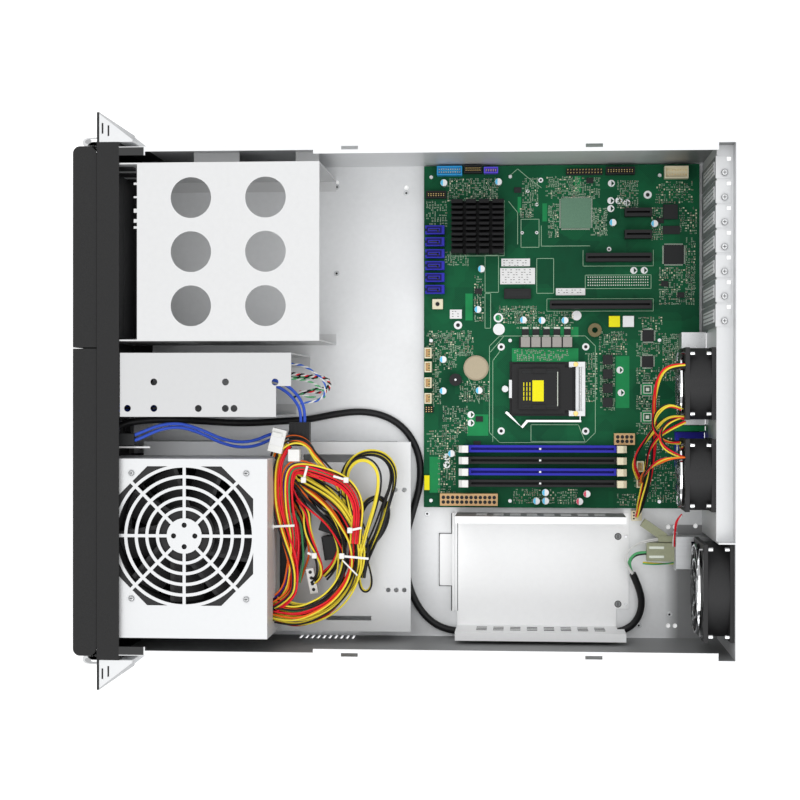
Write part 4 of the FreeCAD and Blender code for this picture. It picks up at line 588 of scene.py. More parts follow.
class CaseWork:
    """Sheet metal, doors, carriers and supply: finishes on the CAD frame."""

    finishes: dict[str, Finish] = {
        "chassis_base": ZINC, "rear_panel": ZINC_PALE, "slot_covers": COVER_GREY, "screws_and_studs": SCREW,
        "front_frame": FRAME_COAT, "left_door": DARK_COAT, "right_door": DARK_COAT, "left_door_lock": CHROME,
        "right_door_lock": CHROME, "bay_covers": BLACK, "power_button": BLACK, "reset_button": BLACK,
        "front_ports": BLACK, "rack_ears": ZINC_PALE, "handles": CHROME, "drive_cage": CAGE_ZINC,
        "hard_drive_bracket": ZINC_DULL, "psu_shelf": ZINC_PALE, "psu_case": ZINC_PALE, "psu_board": BLACK,
        "psu_fan_frame": FAN_BLACK, "psu_fan_rotor": FAN_BLACK, "disk_tray": TRAY_ZINC,
        "rear_fan_frames": FAN_BLACK, "left_fan_rotor": FAN_BLACK, "middle_fan_rotor": FAN_BLACK,
        "right_fan_rotor": FAN_BLACK, "fan_guards": CHROME, "ac_inlet": BRUSHED, "motherboard": MASK,
        "cpu_socket": BLACK, "socket_load_plate": BLACK, "socket_cover": BLACK, "socket_lever": CHROME,
        "dimm_slots": BLUE_PLASTIC, "chipset_heatsink": HEATSINK, "expansion_slots": BLACK,
        "sata_ports": BLUE_PLASTIC, "board_connectors": CREAM, "capacitors": CAN_TOP, "board_parts": CHIP_BLACK,
        "rear_io_ports": SCREW, "ac_lead": LEAD, "inlet_wires": LEAD, "bracket_port_cable": BLUE_SHEATH,
        "side_port_cable": BLUE_SHEATH, "panel_wires": BLUE_SHEATH, "supply_wire_hank": LEAD,
        "supply_wire_loop": LEAD, "cable_plugs": WHITE, "spare_fan_wires": LEAD, "header_fan_wires": LEAD}

    second: list[tuple[str, Finish, Point, Point]] = [
        # Painted shade: the chassis's right inner wall and the tray's near wall take the darker shaded zinc.
        ("chassis_base", SHADED_ZINC, (210.9, -240, 4), (211.1, 275, 131)),
        ("disk_tray", SHADED_ZINC, (99.9, 40, 3), (100.1, 192, 54)),
        ("rack_ears", DARK_COAT, (-242, -254.1, -1), (242, -253.9, 133)),
        ("slot_covers", ZINC_PALE, (-205, 250, 112), (-50, 276, 126)),
        ("socket_load_plate", SCREW, (-40, 80, 9), (20, 91, 20)),
        ("cpu_socket", SCREW, (-40, 141, 9), (20, 160, 20)),
        ("cpu_socket", SCREW, (-16, 80, 10.6), (-6, 90, 20)),
        ("dimm_slots", BLACK, (48, 40, 9), (57, 200, 40)), ("dimm_slots", BLACK, (68, 40, 9), (78, 200, 40)),
        ("board_connectors", TAN, (80, 20, 9), (95, 80, 30)), ("board_connectors", TAN, (28, 180, 9), (40, 200, 30)),
        ("board_connectors", LIGHT_BLUE, (-210, 23, 9), (-200, 47, 30)),
        ("board_connectors", BLACK, (-210, 48, 9), (-200, 65, 30)),
        ("board_connectors", PURPLE, (-210, 65.5, 9), (-200, 79, 30)),
        ("board_connectors", BLACK, (-190, 10, 9), (-180, 34, 30)),
        ("board_connectors", BLACK, (-210, 170, 9), (-200, 200, 30)),
        ("capacitors", BLACK, (-25, 34, 9), (-13, 48, 30)),
        ("board_parts", CHOKE, (-58, 98, 9), (-47, 145, 30)), ("board_parts", COPPER, (-70, 157, 9), (-56, 171, 30)),
        ("board_parts", CELL, (-42, 47, 9), (-17, 71, 30)), ("board_parts", LAMINATE, (-182, 133, 9), (-152, 162, 12)),
        ("board_parts", YELLOW_PAPER, (66, 12, 9), (80, 18, 20)),
        ("board_parts", YELLOW_PAPER, (-76, 176, 9), (-65, 187, 20)),
        ("board_parts", CAN_WHITE, (-76, 188, 9), (-65, 200, 20)), ("board_parts", POUR, (-16, 205, 9), (20, 217, 20)),
        ("cable_plugs", BLACK, (17, -99, 79), (39, -80, 92)), ("cable_plugs", BLACK, (40, -272, 60), (95, -238, 90)),
        ("cable_plugs", CREAM, (90, 190, 0), (110, 210, 20)), ("ac_inlet", CLEAR, (117, 205, 10), (141, 232.8, 36)),
        ("rear_io_ports", POUR, (20.9, 235, 9), (26.4, 262, 30)),
        ("rear_io_ports", BLUE_PLASTIC, (26.5, 230, 9), (58, 262, 30)),
        ("motherboard", LAMINATE, (-211, 12, 7), (-209.9, 257, 9.05))]

    def __init__(self, nodes: dict[str, bpy.types.Object]) -> None:
        """Keeps the CAD nodes."""
        self.nodes = nodes

    def finish_of(self, node: str) -> Finish:
        """Returns the finish of a CAD node."""
        if "latch" in node:
            return WHITE if node.startswith("front") else CREAM
        return self.finishes[node]

    def dress(self) -> None:
        """Gives every CAD node its finish, and some of its faces a second one."""
        for name, node in self.nodes.items():
            node.data.materials.clear()
            node.data.materials.append(self.finish_of(name).material())
            for face in node.data.polygons:
                face.material_index = 0
        for row in self.second:
            self.recolour(*row)
        LOG.info("%d CAD nodes dressed", len(self.nodes))

    def recolour(self, node: str, finish: Finish, low: Point, high: Point) -> None:
        """Puts a second finish on the faces of a CAD node inside a box.

        Args:
            node: Name of the node.
            finish: The finish for those faces.
            low: Lowest corner of the box, in millimetres.
            high: Highest corner of the box.
        """
        data = self.nodes[node].data
        material = finish.material()
        if material.name not in data.materials:
            data.materials.append(material)
        index = data.materials.find(material.name)
        for face in data.polygons:
            if all(low[i] * MM <= face.center[i] <= high[i] * MM for i in range(3)):
                face.material_index = index


class Cabling:
    """All free cords: mains lead, front-port cables, panel pairs, supply wires and fan wires."""

    lead: list[Point] = [
        (49.65, -262.1, 76), (37.7, -262.1, 76), (26.7, -256.1, 75), (19.7, -245.1, 73), (17, -231, 68),
        (16.3, -214, 58), (16.8, -196, 43), (18.5, -178, 27), (20, -160, 14.5), (20, -140, 6.5), (18.5, -118, 4.65),
        (17, -93, 4.65), (12, -69, 4.65), (9, -45, 4.65), (13, -22, 4.65), (26, -3, 4.65), (48, 8.5, 4.65),
        (73, 9.5, 4.65), (97, 3, 4.65), (121, -4, 4.65), (146, -5, 4.65), (169, -0.5, 4.65), (187.5, 8.5, 4.65),
        (200.5, 21.5, 4.65), (206.3, 38, 4.65), (207.2, 66, 4.65), (206.8, 115, 4.65), (206.9, 158, 4.65),
        (206.3, 182, 4.65), (202, 195.5, 5.15), (192.5, 203.5, 6.65), (179, 206.5, 10.5), (165, 203.5, 15),
        (152, 197.5, 19)]
    bracket_cable: list[Point] = [
        (6, -252.8, 102), (6, -237, 102), (7, -219, 105), (6.5, -199, 107), (3, -179, 108), (-4.5, -160, 108.5),
        (-12.5, -141.5, 108.5), (-17, -122, 106.5), (-15.8, -108, 102), (-9, -97, 96.5), (1, -89.5, 91),
        (10, -87, 88), (18, -87, 88)]
    side_cable: list[Point] = [
        (32.5, -240.8, 111), (32.5, -229, 111), (28.5, -219, 109), (22.5, -206, 104.5), (20.5, -190, 98),
        (26, -173, 92), (34, -157, 88), (37.8, -141, 86), (36.4, -127, 84.5), (31.5, -115.5, 84.5),
        (29, -106.5, 84.5), (29, -98, 84.5)]

    def build(self) -> None:
        """Makes every cord in turn."""
        lead = Cord("mains_lead", self.lead, 6.3, LEAD, "object", "medium").build()
        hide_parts("ac_lead")
        self.front_cables()
        self.panel_pairs()
        self.supply_wires()
        self.rear_wires()

    def front_cables(self) -> None:
        """Makes the two flat blue cables of the front ports."""
        for name, route in (("bracket_port_cable", self.bracket_cable), ("side_port_cable", self.side_cable)):
            made = Bundle("twin_" + name, route, [Wire.BLUE, Wire.BLUE], 2.7, 3.2, 0.0, 0.0, seed=3).build()
            made.data.materials.clear()
            made.data.materials.append(BLUE_SHEATH.material())
            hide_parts(name)

    def panel_pairs(self) -> None:
        """Makes the twisted pairs that loop behind the drive bracket."""
        pairs: tuple[tuple[str, list[Wire], list[Point]], ...] = (
            ("power_pair", [Wire.BLUE, Wire.WHITE],
             [(-34, -122, 93), (-33, -104, 93), (-31.5, -94, 93), (-30.8, -87, 93), (-27.4, -80, 94), (-22.3, -73, 95),
              (-17, -67, 95), (-9, -66.5, 93), (-3, -69, 91), (0.5, -76, 90), (1, -85, 90), (2.5, -92, 89)]),
            ("reset_pair", [Wire.GREEN, Wire.WHITE],
             [(-28, -122, 88), (-22, -106, 88), (-19, -96, 88), (-18.5, -88, 88), (-17, -81, 89), (-13.5, -74, 90),
              (-9.5, -68.5, 90), (-4, -67, 88), (-1.5, -72, 86), (-4, -80, 85), (-5, -90, 85)]),
            ("lamp_pair", [Wire.RED, Wire.WHITE, Wire.BLACK],
             [(-29, -122, 90), (-25, -106, 91), (-23.5, -96, 92), (-22.5, -88, 92), (-21, -79, 92), (-21, -71, 92),
              (-18.5, -64.5, 91), (-13, -62.5, 89), (-8, -65.5, 87), (-7, -72, 85), (-8.5, -80, 84), (-8, -90, 84)]),
            ("alarm_pair", [Wire.GREEN, Wire.BLACK],
             [(-26, -122, 86), (-21, -106, 86), (-20, -96, 86), (-20.5, -86, 86), (-20, -77, 86), (-20.5, -69, 87),
              (-18, -64, 87), (-12.5, -63.5, 86), (-10.5, -70, 85), (-10, -78, 84), (-7, -87, 83), (-3, -95, 83)]))
        made = None
        for i, (name, wires, tail) in enumerate(pairs):
            start = [(-3.0, -252.8, 88.0), (-3.0 + i, -235, 88), (-11, -206, 88 + i), (-22, -178, 89), (-30, -150, 90)]
            made = Bundle(name, start + tail, wires, 1.5, 0.85, 13.0 + 2 * i, 1.0, seed=i + 4, far_end="bare").build()
        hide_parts("panel_wires")

    def supply_wires(self) -> None:
        """Makes the supply's wires, folded and tied on their shelf."""
        Y, K, R, O, P, G = Wire.YELLOW, Wire.BLACK, Wire.RED, Wire.ORANGE, Wire.PURPLE, Wire.GREEN
        ropes = [
            Bundle("supply_main", [(178, -111.3, 84), (180, -103, 84), (182, -92, 83), (180, -80, 82), (173, -64, 80),
                                   (160, -51, 78), (145, -44, 78), (131, -42, 78), (117, -43, 77), (103, -49, 76),
                                   (89, -58, 75), (78, -71, 74), (69, -86, 73), (62, -98, 72)],
                   [K, G, Y, R, K, Y, O, K, Y, K, Y, R, K, Y, K, Y, O, K, Y, K, Y, K, Y, K, Y, Y],
                   1.6, 9.6, 0.3, 0.5, 11),
            Bundle("supply_loop", [(132, -42, 72), (118, -46, 71), (100, -51, 70), (80, -54, 70), (62, -53, 70),
                                   (50, -46, 71), (44, -34, 71), (46, -20, 70), (56, -11, 69), (70, -10, 68),
                                   (88, -16, 66), (108, -22, 66), (126, -30, 68), (140, -36, 71), (152, -37, 73)],
                   [Y, K, K, Y, K, K, K], 1.7, 3.6, 0.8, 0.8, 18),
            Bundle("supply_sweep", [(184, -111.3, 74), (189, -101, 72), (188, -85, 70), (182, -70, 69), (170, -57, 69),
                                    (154, -48, 70), (139, -44, 71)], [Y, Y, K, P, Y, O, K, Y, R],
                   1.65, 5.4, 0.2, 0.6, 21),
            Bundle("supply_side", [(176, -111.3, 88), (168, -96, 86), (152, -94, 84), (138, -96, 83), (120, -102, 84),
                                   (104, -106, 86), (87, -109, 88), (71, -109, 90), (56, -108, 91), (45, -104, 92),
                                   (37, -98, 92)], [O, R, K, Y, O, R, K, Y, R], 1.65, 4.6, 0.2, 0.8, 12),
            Bundle("supply_riser", [(172, -111.3, 80), (165, -101, 79), (140, -97, 79), (116, -95.5, 81), (98, -99, 83),
                                    (81, -100, 86), (66, -99.5, 88), (57.5, -96, 89), (55.5, -89, 89), (57.5, -79, 88),
                                    (61, -69, 87), (66, -57, 85), (73, -48, 84), (83, -42, 83), (94, -40, 82),
                                    (107, -41, 82), (122, -42, 83)],
                   [G, P, K, R, P, R, K, Y, R, O, R, Y], 1.65, 4.9, 0.25, 0.7, 14),
            Bundle("supply_arch", [(47, -111, 93), (40, -108, 97), (34, -101, 99), (31.5, -93, 99), (33, -85, 97),
                                   (38, -79, 94), (45, -76, 90), (52, -71, 86), (59, -66, 82), (66, -60, 78),
                                   (76, -56, 72)], [O, K, Y, K, O, Y], 1.65, 3.4, 0.4, 0.8, 13),
            Bundle("supply_cross", [(66, -98, 78), (74, -93, 76), (84, -87, 74), (96, -76, 71), (108, -64, 70),
                                    (123, -56, 70), (140, -53, 70), (157, -56, 69)], [K, O, K, K, Y, R, K], 1.7, 4.2,
                   0.5, 0.7, 15),
            Bundle("supply_drop", [(84, -92, 70), (95, -84, 70), (106, -84.5, 70), (119, -82, 70), (132, -77, 69),
                                   (145, -73.5, 68), (154, -76, 66), (157, -81.5, 63)], [K, Y, K, R, K, Y], 1.7, 3.4,
                   0.5, 0.8, 16),
            Bundle("supply_inner", [(82, -80, 60), (93, -74, 60), (98, -64, 60), (106, -57, 61), (120, -55, 61),
                                    (134, -58, 60), (145, -64, 59), (152, -72, 58)], [K, K, Y, K, R, K, K], 1.9, 4.4,
                   0.5, 0.7, 17),
            Bundle("supply_deep", [(66, -96, 56), (80, -98, 55), (96, -94, 54), (112, -90, 53), (128, -92, 53),
                                   (144, -95, 54), (158, -97, 55)], [K, K, R, K, K, G, K, K, O],
                   2.0, 6.0, 0.5, 0.6, 22),
            Bundle("loop_inner", [(132, -39, 78), (119, -35, 77), (103, -30, 76), (88, -25.5, 75), (74, -22.5, 75),
                                  (62, -22.5, 75), (54, -26.5, 76), (49.5, -33, 76), (49.5, -40.5, 76), (54, -47, 76),
                                  (62, -51, 76), (74, -50.5, 77), (87, -47.5, 79), (98, -45, 80)], [Y, Y, K, Y], 1.65,
                   2.3, 0.6, 0.9, 23),
            Bundle("loop_small", [(131, -40, 63), (116, -42, 61), (104, -41.5, 60), (94.5, -39, 59), (86.5, -34, 59),
                                  (83, -26.5, 59), (85, -20, 59), (92, -16.5, 59), (102, -17, 59), (113, -21, 60),
                                  (122, -27, 62), (131, -34, 65)], [K, Y, K, K, Y], 1.65, 2.8, 0.6, 0.8, 19),
            Bundle("loop_tail", [(128, -43, 66), (138, -42, 62), (149, -41.5, 58), (158, -41, 56), (164.5, -39, 56),
                                 (166.5, -35, 56), (163.5, -31, 56), (156, -29.5, 57), (146, -31, 60), (134, -34, 65)],
                   [K, Y], 1.65, 1.0, 0.3, 0.8, 20)]
        made = [rope.build() for rope in ropes]
        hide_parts("supply_wire_hank")
        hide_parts("supply_wire_loop")

    def rear_wires(self) -> None:
        """Makes the wires of the rear fans and of the mains inlet."""
        Y, K, R, W, G, O = Wire.YELLOW, Wire.BLACK, Wire.RED, Wire.WHITE, Wire.GREEN, Wire.ORANGE
        spare = [(-29.4, 234.7, 111.3), (-29.4, 224, 111.3), (-24, 215.5, 107.5), (-12, 211.5, 99), (4, 210.5, 87.5),
                 (22, 211.5, 75), (40, 212.5, 64), (58, 211.5, 52), (73, 209, 41.5), (86, 205.5, 33.5),
                 (96.5, 202.8, 26.5), (101.5, 201.5, 19.2), (101.5, 201.5, 10.2)]
        header = [(46.7, 234.7, 111.3), (46.7, 224, 111.3), (49.5, 214.5, 103.5), (55, 208.5, 88), (60.5, 205, 70),
                  (66, 203.6, 51), (71.6, 204.1, 34.5), (71.6, 204.1, 20.1)]
        made = Bundle("left_fan_wires", spare, [Y, K, R, Y, K, R], 1.5, 1.6, 1.2, 1.0, 31).build()
        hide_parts("spare_fan_wires")
        made = Bundle("middle_fan_wires", header, [Y, K, R, O], 1.4, 1.3, 1.2, 1.0, 32).build()
        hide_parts("header_fan_wires")
        for number, (route, wires) in enumerate((
                ([(13, 235.5, 100), (12, 227, 98), (15, 219, 92), (22.5, 212, 84), (32, 206, 74), (43, 199, 60),
                  (52, 197, 46), (60, 198.5, 32), (68, 202.5, 20.5)], [Y, R, K, Y, R]),
                ([(17, 236.5, 98), (22.4, 225, 95), (29.7, 214, 85), (42, 207.5, 70), (54, 206.5, 55), (68, 205.5, 40),
                  (85, 203, 28), (96, 201.5, 18), (101.5, 201.5, 10.4)], [R, Y, K]),
                ([(7, 233, 104), (2.7, 225, 106), (4.7, 217, 104), (11, 210.6, 98), (21, 209.6, 90), (30, 215, 86),
                  (35, 225, 90), (34, 232, 98)], [Y, R, K, Y]),
                ([(46.7, 234.7, 107), (42, 222, 104), (32, 214, 98), (22, 217, 96), (15, 226, 97), (13, 235, 98)],
                 [R, Y, K])), 1):
            Bundle(f"fan_tangle_{number}", route, wires, 1.3, 1.5, 0.9, 1.0, 40 + number).build()
        for name, route, wires in (
                ("inlet_neutral", [(151.9, 197.4, 21), (143, 190.5, 25), (133, 191.5, 28), (126, 198, 30),
                                   (122.5, 208, 28), (121, 219.2, 25)], [W, W]),
                ("inlet_earth", [(142, 206, 24), (143, 214, 23), (143, 226, 22), (142, 236, 21), (140, 246, 20)],
                 [G, Y]),
                ("switch_wires", [(97, 236, 66), (102, 233, 60), (110, 232, 52), (119, 231.5, 44), (126, 232, 36)],
                 [R, W, R])):
            Bundle(name, route, wires, 1.3, 0.9, 0.6, 1.0, 51).build()
        earth = [(151.87, 197.44, 19.04), (145.5, 194.5, 21), (139.2, 194.9, 22.8), (134.3, 199, 23.9), (133, 205, 24),
                 (133, 210, 24)]
        made = Bundle("inlet_cores", earth, [G, G, K], 1.5, 1.2, 0.3, 0.7, 33).build()
        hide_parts("inlet_wires")


@dataclass(frozen=True)
class Patch:
    """Part of the board that is strewn with small parts.

    Attributes:
        left: Its edge in X, in millimetres.
        right: The other edge in X.
        front: Its edge in Y.
        rear: The other edge in Y.
        pitch: Mean distance between the parts.
        bare: Share of the parts that are empty solder pads.
    """

    left: float
    right: float
    front: float
    rear: float
    pitch: float = 2.1
    bare: float = 0.5


class BoardWork:
    """Everything small on the board: pads, chips' pins, printed lines, labels, plugs' contacts."""

    top: float = 9.1
    patches: list[Patch] = [
        Patch(-199, -178, 33, 78, 1.9, 0.6), Patch(-179, -155, 14, 33, 2.4, 0.95),
        Patch(-199, -172, 100, 115, 2.1, 0.9),
        Patch(-200, -179, 121, 150, 2.0, 0.8), Patch(-176, -146, 123, 132, 1.9, 0.8),
        Patch(-172, -164, 98, 110, 1.7, 0.7),
        Patch(-112, -70, 57, 67, 2.3, 0.5), Patch(-85, -70, 79, 113, 2.0, 0.6), Patch(-80, -65, 93, 146, 2.3, 0.7),
        Patch(-63, -40, 15, 57, 1.9, 0.6), Patch(-47, 4, 20, 28, 2.0, 0.7), Patch(-40, -27, 30, 43, 2.0, 0.7),
        Patch(-199, -178, 141, 170, 2.0, 0.9), Patch(-196, -171, 184, 202, 2.1, 0.7),
        Patch(-172, -147, 161, 176, 1.8, 0.9),
        Patch(-195, -175, 218, 250, 2.2, 0.3), Patch(-172, -142, 214, 224, 2.1, 0.4),
        Patch(-172, -148, 239, 254, 2.2, 0.4),
        Patch(-119, -86, 221, 252, 2.1, 0.5), Patch(-75, -58, 203, 224, 2.4, 0.4),
        Patch(-145, -100, 244, 254, 2.3, 0.5),
        Patch(-18, 0, 44, 72, 2.1, 0.5), Patch(4, 29, 29, 53, 2.1, 0.5), Patch(26, 47, 15, 44, 2.2, 0.5),
        Patch(48, 82, 25, 42, 2.3, 0.4), Patch(78, 91, 92, 150, 2.3, 0.4), Patch(-46, -36, 93, 140, 2.0, 0.95),
        Patch(-43, 0, 156, 167, 2.2, 0.8), Patch(-41, 8, 169, 182, 1.9, 0.95), Patch(-62, -41, 168, 194, 2.1, 0.4),
        Patch(-52, -40, 201, 221, 2.1, 0.5), Patch(-30, -16, 201, 221, 2.1, 0.5), Patch(-5, 8, 201, 221, 2.1, 0.6),
        Patch(19, 30, 201, 221, 2.1, 0.6), Patch(-60, -44, 224, 246, 1.8, 0.9), Patch(32, 60, 209, 232, 2.4, 0.3),
        Patch(82, 93, 184, 206, 2.2, 0.5), Patch(-44, -18, 224, 240, 2.0, 0.4), Patch(62, 90, 210, 235, 2.3, 0.4),
        Patch(-134, -120, 31, 52, 2.2, 0.9), Patch(40, 76, 199, 200, 2.0, 0.5)]
    outlines: list[list[tuple[float, float]]] = [
        [(-58, 80), (-49, 71), (28, 71), (37, 80), (37, 156), (28, 165), (-49, 165), (-58, 156), (-58, 80)],
        [(-52, 80), (-44, 80), (-36, 74), (36, 74)], [(21, 108), (36, 108), (36, 156), (21, 150), (21, 108)],
        [(-130, 67), (-97, 67), (-97, 79), (-130, 79), (-130, 67)],
        [(-96, 67), (-65, 67), (-65, 72), (-96, 72), (-96, 67)],
        [(-162, 99), (-137, 99), (-137, 115), (-162, 115), (-162, 99)], [(-156, 117), (-138, 117), (-138, 160)],
        [(-127, 113), (-96, 113), (-96, 128), (-127, 128), (-127, 113)],
        [(-179, 37), (-179, 84), (-129.6, 84), (-129.6, 37)],
        [(-112, 156), (-100, 156), (-100, 214), (-112, 214), (-112, 156)],
        [(-200, 88), (-207, 96), (-200, 104), (-190, 117)],
        [(-91, 122), (-80, 122), (-80, 216), (-91, 216), (-91, 122)],
        [(-134, 154), (-120, 154), (-120, 216), (-134, 216)],
        [(-30, 48), (2, 62)], [(-44, 72), (-58, 84)], [(-178, 88), (-168, 96), (-140, 96)]]
    labels: list[tuple[float, float, float, float]] = [
        (-127, -120.2, 81.5, 107), (-118.6, -104.2, 80.5, 111.5), (-100.4, -94.2, 130, 156), (-81.7, -73.6, 35.6, 46.3)]
    cans: list[tuple[float, float]] = [
        (-194.1, 30.5), (-194.6, 79.0), (-117.4, 64.0), (-81.4, 60.9), (-72.0, 101.2), (-71.5, 117.6), (-71.5, 137.9),
        (-157.8, 180.0), (-156.6, 216.5), (-37.0, 30.0), (-9.0, 30.0), (-9.4, 62.0), (46.7, 37.4), (81.0, 120.8),
        (88.6, 112.9), (88.5, 121.0)]
    red_cans: list[tuple[float, float]] = [(82.1, 157.4), (88.8, 151.0)]
    empty_cans: list[tuple[float, float]] = [
        (-193.4, 179), (-178, 178.5), (-178, 185.6), (-171, 178.5), (-176, 192.7), (-116, 198.8), (-116, 208),
        (-27.6, 186.7), (-7.5, 187.8), (12.2, 54.5), (19.6, 54.5), (50, 33), (57, 33)]
    holes: list[tuple[float, float, float]] = [
        (-48.3, 81.5, 3.2), (-48.3, 156.5, 3.2), (26.7, 81.5, 3.2), (26.7, 156.5, 3.2), (-67.8, 42.9, 3.7),
        (-196.7, 116.5, 2.2), (-183, 211, 3.6), (-135, 177, 2.0), (-187, 105, 1.5), (-175, 113, 1.5), (-150, 100, 1.4),
        (-150, 113, 1.4)]
    pours: list[tuple[float, float, float, float]] = [
        (-47, -35, 91, 150), (12, 31, 51, 70), (50, 82, 17.5, 27), (-96, -72, 49.5, 56), (-182, -168, 96, 99),
        (-200, -186, 146, 152), (-40, 6, 183, 195), (-176, -160, 118, 122), (-66, -57, 132, 150), (60, 90, 236, 254)]

    def build(self) -> None:
        """Makes the layers of small things in turn."""
        self.printing()
        for number, share in enumerate((self.patches[::3], self.patches[1::3], self.patches[2::3]), 1):
            self.small_parts(f"small_parts_{number}", share, number)
        self.chip_pins()
        self.capacitor_tops()
        self.contacts()
        self.socket()

    def printing(self) -> None:
        """Makes the copper areas, printed outlines, pad rings with their holes in black as painted shade, and blank
        labels on the board's face.
        """
        piece = Piece("board_printing")
        low = self.top
        for x0, x1, y0, y1 in self.pours:
            piece.use(POUR).block((x0, y0, low), (x1, y1, low + 0.03))
        piece.use(SILK)
        for line in self.outlines:
            for start, end in zip(line, line[1:]):
                piece.stroke(start, end, 0.45, low, low + 0.06)
        # Painted shade: each hole is a black disc inside its pale ring.
        for x, y, radius in self.holes:
            piece.use(CAN_WHITE).rod((x, y, low), radius, 0.07, sides=20)
            piece.use(BLACK).rod((x, y, low), radius * 0.48, 0.1, sides=16)
        for x, y in self.empty_cans:
            piece.use(CAN_WHITE).rod((x, y, low), 3.1, 0.07, sides=20)
            piece.use(MASK).slab([(x - 2.4, y), (x, y + 2.6), (x + 2.4, y)], low, low + 0.1)
            piece.use(BLACK).rod((x, y + 0.7, low), 0.7, 0.12, sides=10)
        piece.use(CAN_WHITE).rod((-64, 79.4, low), 5.2, 0.08, sides=28)
        piece.rod((-74.3, 78.9, low), 4.2, 0.08, sides=24)
        piece.rod((-76.1, 148.4, low), 4.3, 0.08, sides=24)
        piece.use(POUR).rod((-74.3, 78.9, low), 2.7, 0.11, sides=20)
        for x0, x1, y0, y1 in self.labels:
            piece.use(PAPER).block((x0, y0, low), (x1, y1, low + 0.15))
            piece.use(CHIP_BLACK)
            for k in range(int((x1 - x0) / 2.2)):
                x = x0 + 1.4 + 2.2 * k
                for step in range(int((y1 - y0 - 3) / 2.4)):
                    if (k + 2 * step) % 5 < 3:
                        y = y0 + 1.8 + 2.4 * step
                        piece.block((x, y, low + 0.15), (x + 0.45, y + 1.5, low + 0.17))
        piece.use(PAD)
        for i in range(17):
            for k in range(17):
                if (i * 7 + k * 5) % 11 < 9:
                    piece.rod((-179 + 1.5 * i, 135.6 + 1.5 * k, low + 1.25), 0.4, 0.12, sides=6)
        for row in range(4):
            for k in range(27):
                piece.use(TIN).rod((-110.2 + 2.4 * row, 158.6 + 2.02 * k, low), 0.55, 0.08, sides=8)
        piece.done()

    def small_parts(self, name: str, patches: list[Patch], seed: int) -> None:
        """Strews chip resistors, capacitors and empty pads over some patches."""
        chance = random.Random(seed)
        piece = Piece(name)
        low = self.top
        for patch in patches:
            columns = max(1, round((patch.right - patch.left) / patch.pitch))
            rows = max(1, round((patch.rear - patch.front) / patch.pitch))
            for i in range(columns):
                for k in range(rows):
                    if chance.random() < 0.3:
                        continue
                    x = patch.left + (i + 0.5 + chance.uniform(-0.15, 0.15)) * patch.pitch
                    y = patch.front + (k + 0.5 + chance.uniform(-0.15, 0.15)) * patch.pitch
                    along = chance.random() < 0.5
                    a, b = (0.85, 0.5) if along else (0.5, 0.85)
                    piece.use(PAD).block((x - a, y - b, low), (x + a, y + b, low + 0.12))
                    if chance.random() < patch.bare:
                        a, b = (0.28, 0.6) if along else (0.6, 0.28)
                        piece.use(MASK).block((x - a, y - b, low), (x + a, y + b, low + 0.14))
                    else:
                        a, b = (0.5, 0.46) if along else (0.46, 0.5)
                        piece.use(chance.choice((CHIP_BLACK, BROWN_PART, CREAM, CHIP_BLACK)))
                        piece.block((x - a, y - b, low), (x + a, y + b, low + 0.55))
        piece.done()

    def chip_pins(self) -> None:
        """Makes the rows of pins round the chips and the pads of the empty places."""
        piece = Piece("chip_pins")
        low = self.top
        chips = [(-138.3, -121.4, 225.2, 242.7), (-63.1, -52.9, 206.4, 216.5), (-40.1, -30.1, 206.0, 216.0),
                 (-15.3, -5.5, 206.0, 215.9), (9.3, 18.9, 206.0, 215.7), (-180.4, -153.6, 134.3, 160.9)]
        piece.use(TIN)
        for x0, x1, y0, y1 in chips:
            for k in range(round((x1 - x0 - 1) / 0.9)):
                x = x0 + 0.9 + 0.9 * k
                piece.block((x - 0.2, y0 - 1.3, low), (x + 0.2, y0 - 0.1, low + 0.3))
                piece.block((x - 0.2, y1 + 0.1, low), (x + 0.2, y1 + 1.3, low + 0.3))
            for k in range(round((y1 - y0 - 1) / 0.9)):
                y = y0 + 0.9 + 0.9 * k
                piece.block((x0 - 1.3, y - 0.2, low), (x0 - 0.1, y + 0.2, low + 0.3))
                piece.block((x1 + 0.1, y - 0.2, low), (x1 + 1.3, y + 0.2, low + 0.3))
        for x0, x1, y0, y1 in chips[3:5]:
            middle_x, middle_y = (x0 + x1) / 2, (y0 + y1) / 2
            for half, finish in ((3.6, TIN), (2.9, MASK), (1.5, TIN)):
                piece.use(finish).block((middle_x - half, middle_y - half, low + 1.5),
                                        (middle_x + half, middle_y + half, low + 1.75 - 0.02 * half))
        piece.use(CHIP_BLACK)
        for x, y in ((-196, 160), (-98, 61), (-188, 96), (16, 62), (-104, 226), (-94, 240), (-160, 222), (38, 60)):
            piece.block((x - 2.4, y - 3.2, low), (x + 2.4, y + 3.2, low + 1.3), 0.2)
        for i in range(5):
            y = 103.0 + 9.3 * i
            piece.use(TIN).block((-66.0, y - 2.7, low), (-57.4, y + 2.7, low + 0.5))
            piece.use(BLACK).block((-56.6, y - 5.6, low), (-47.5, y - 4.3, low + 6.5))
        piece.done()

    def capacitor_tops(self) -> None:
        """Makes the printed tops of the round capacitors."""
        piece = Piece("capacitor_tops")
        low = self.top + 8.5
        for finish, places in ((CAN_BLUE, self.cans), (CAN_RED, self.red_cans)):
            for x, y in places:
                piece.use(CAN_WHITE).rod((x, y, low), 3.05, 0.2, sides=20, bevel=0.08)
                arc = [(x + 2.9 * math.cos(a), y + 2.9 * math.sin(a)) for a in
                       (math.radians(195 + 150 * k / 8) for k in range(9))]
                piece.use(finish).slab(arc, low + 0.1, low + 0.26)
        piece.use(CAN_WHITE).rod((-19, 41, self.top + 8.0), 1.0, 0.15, sides=12)
        piece.done()

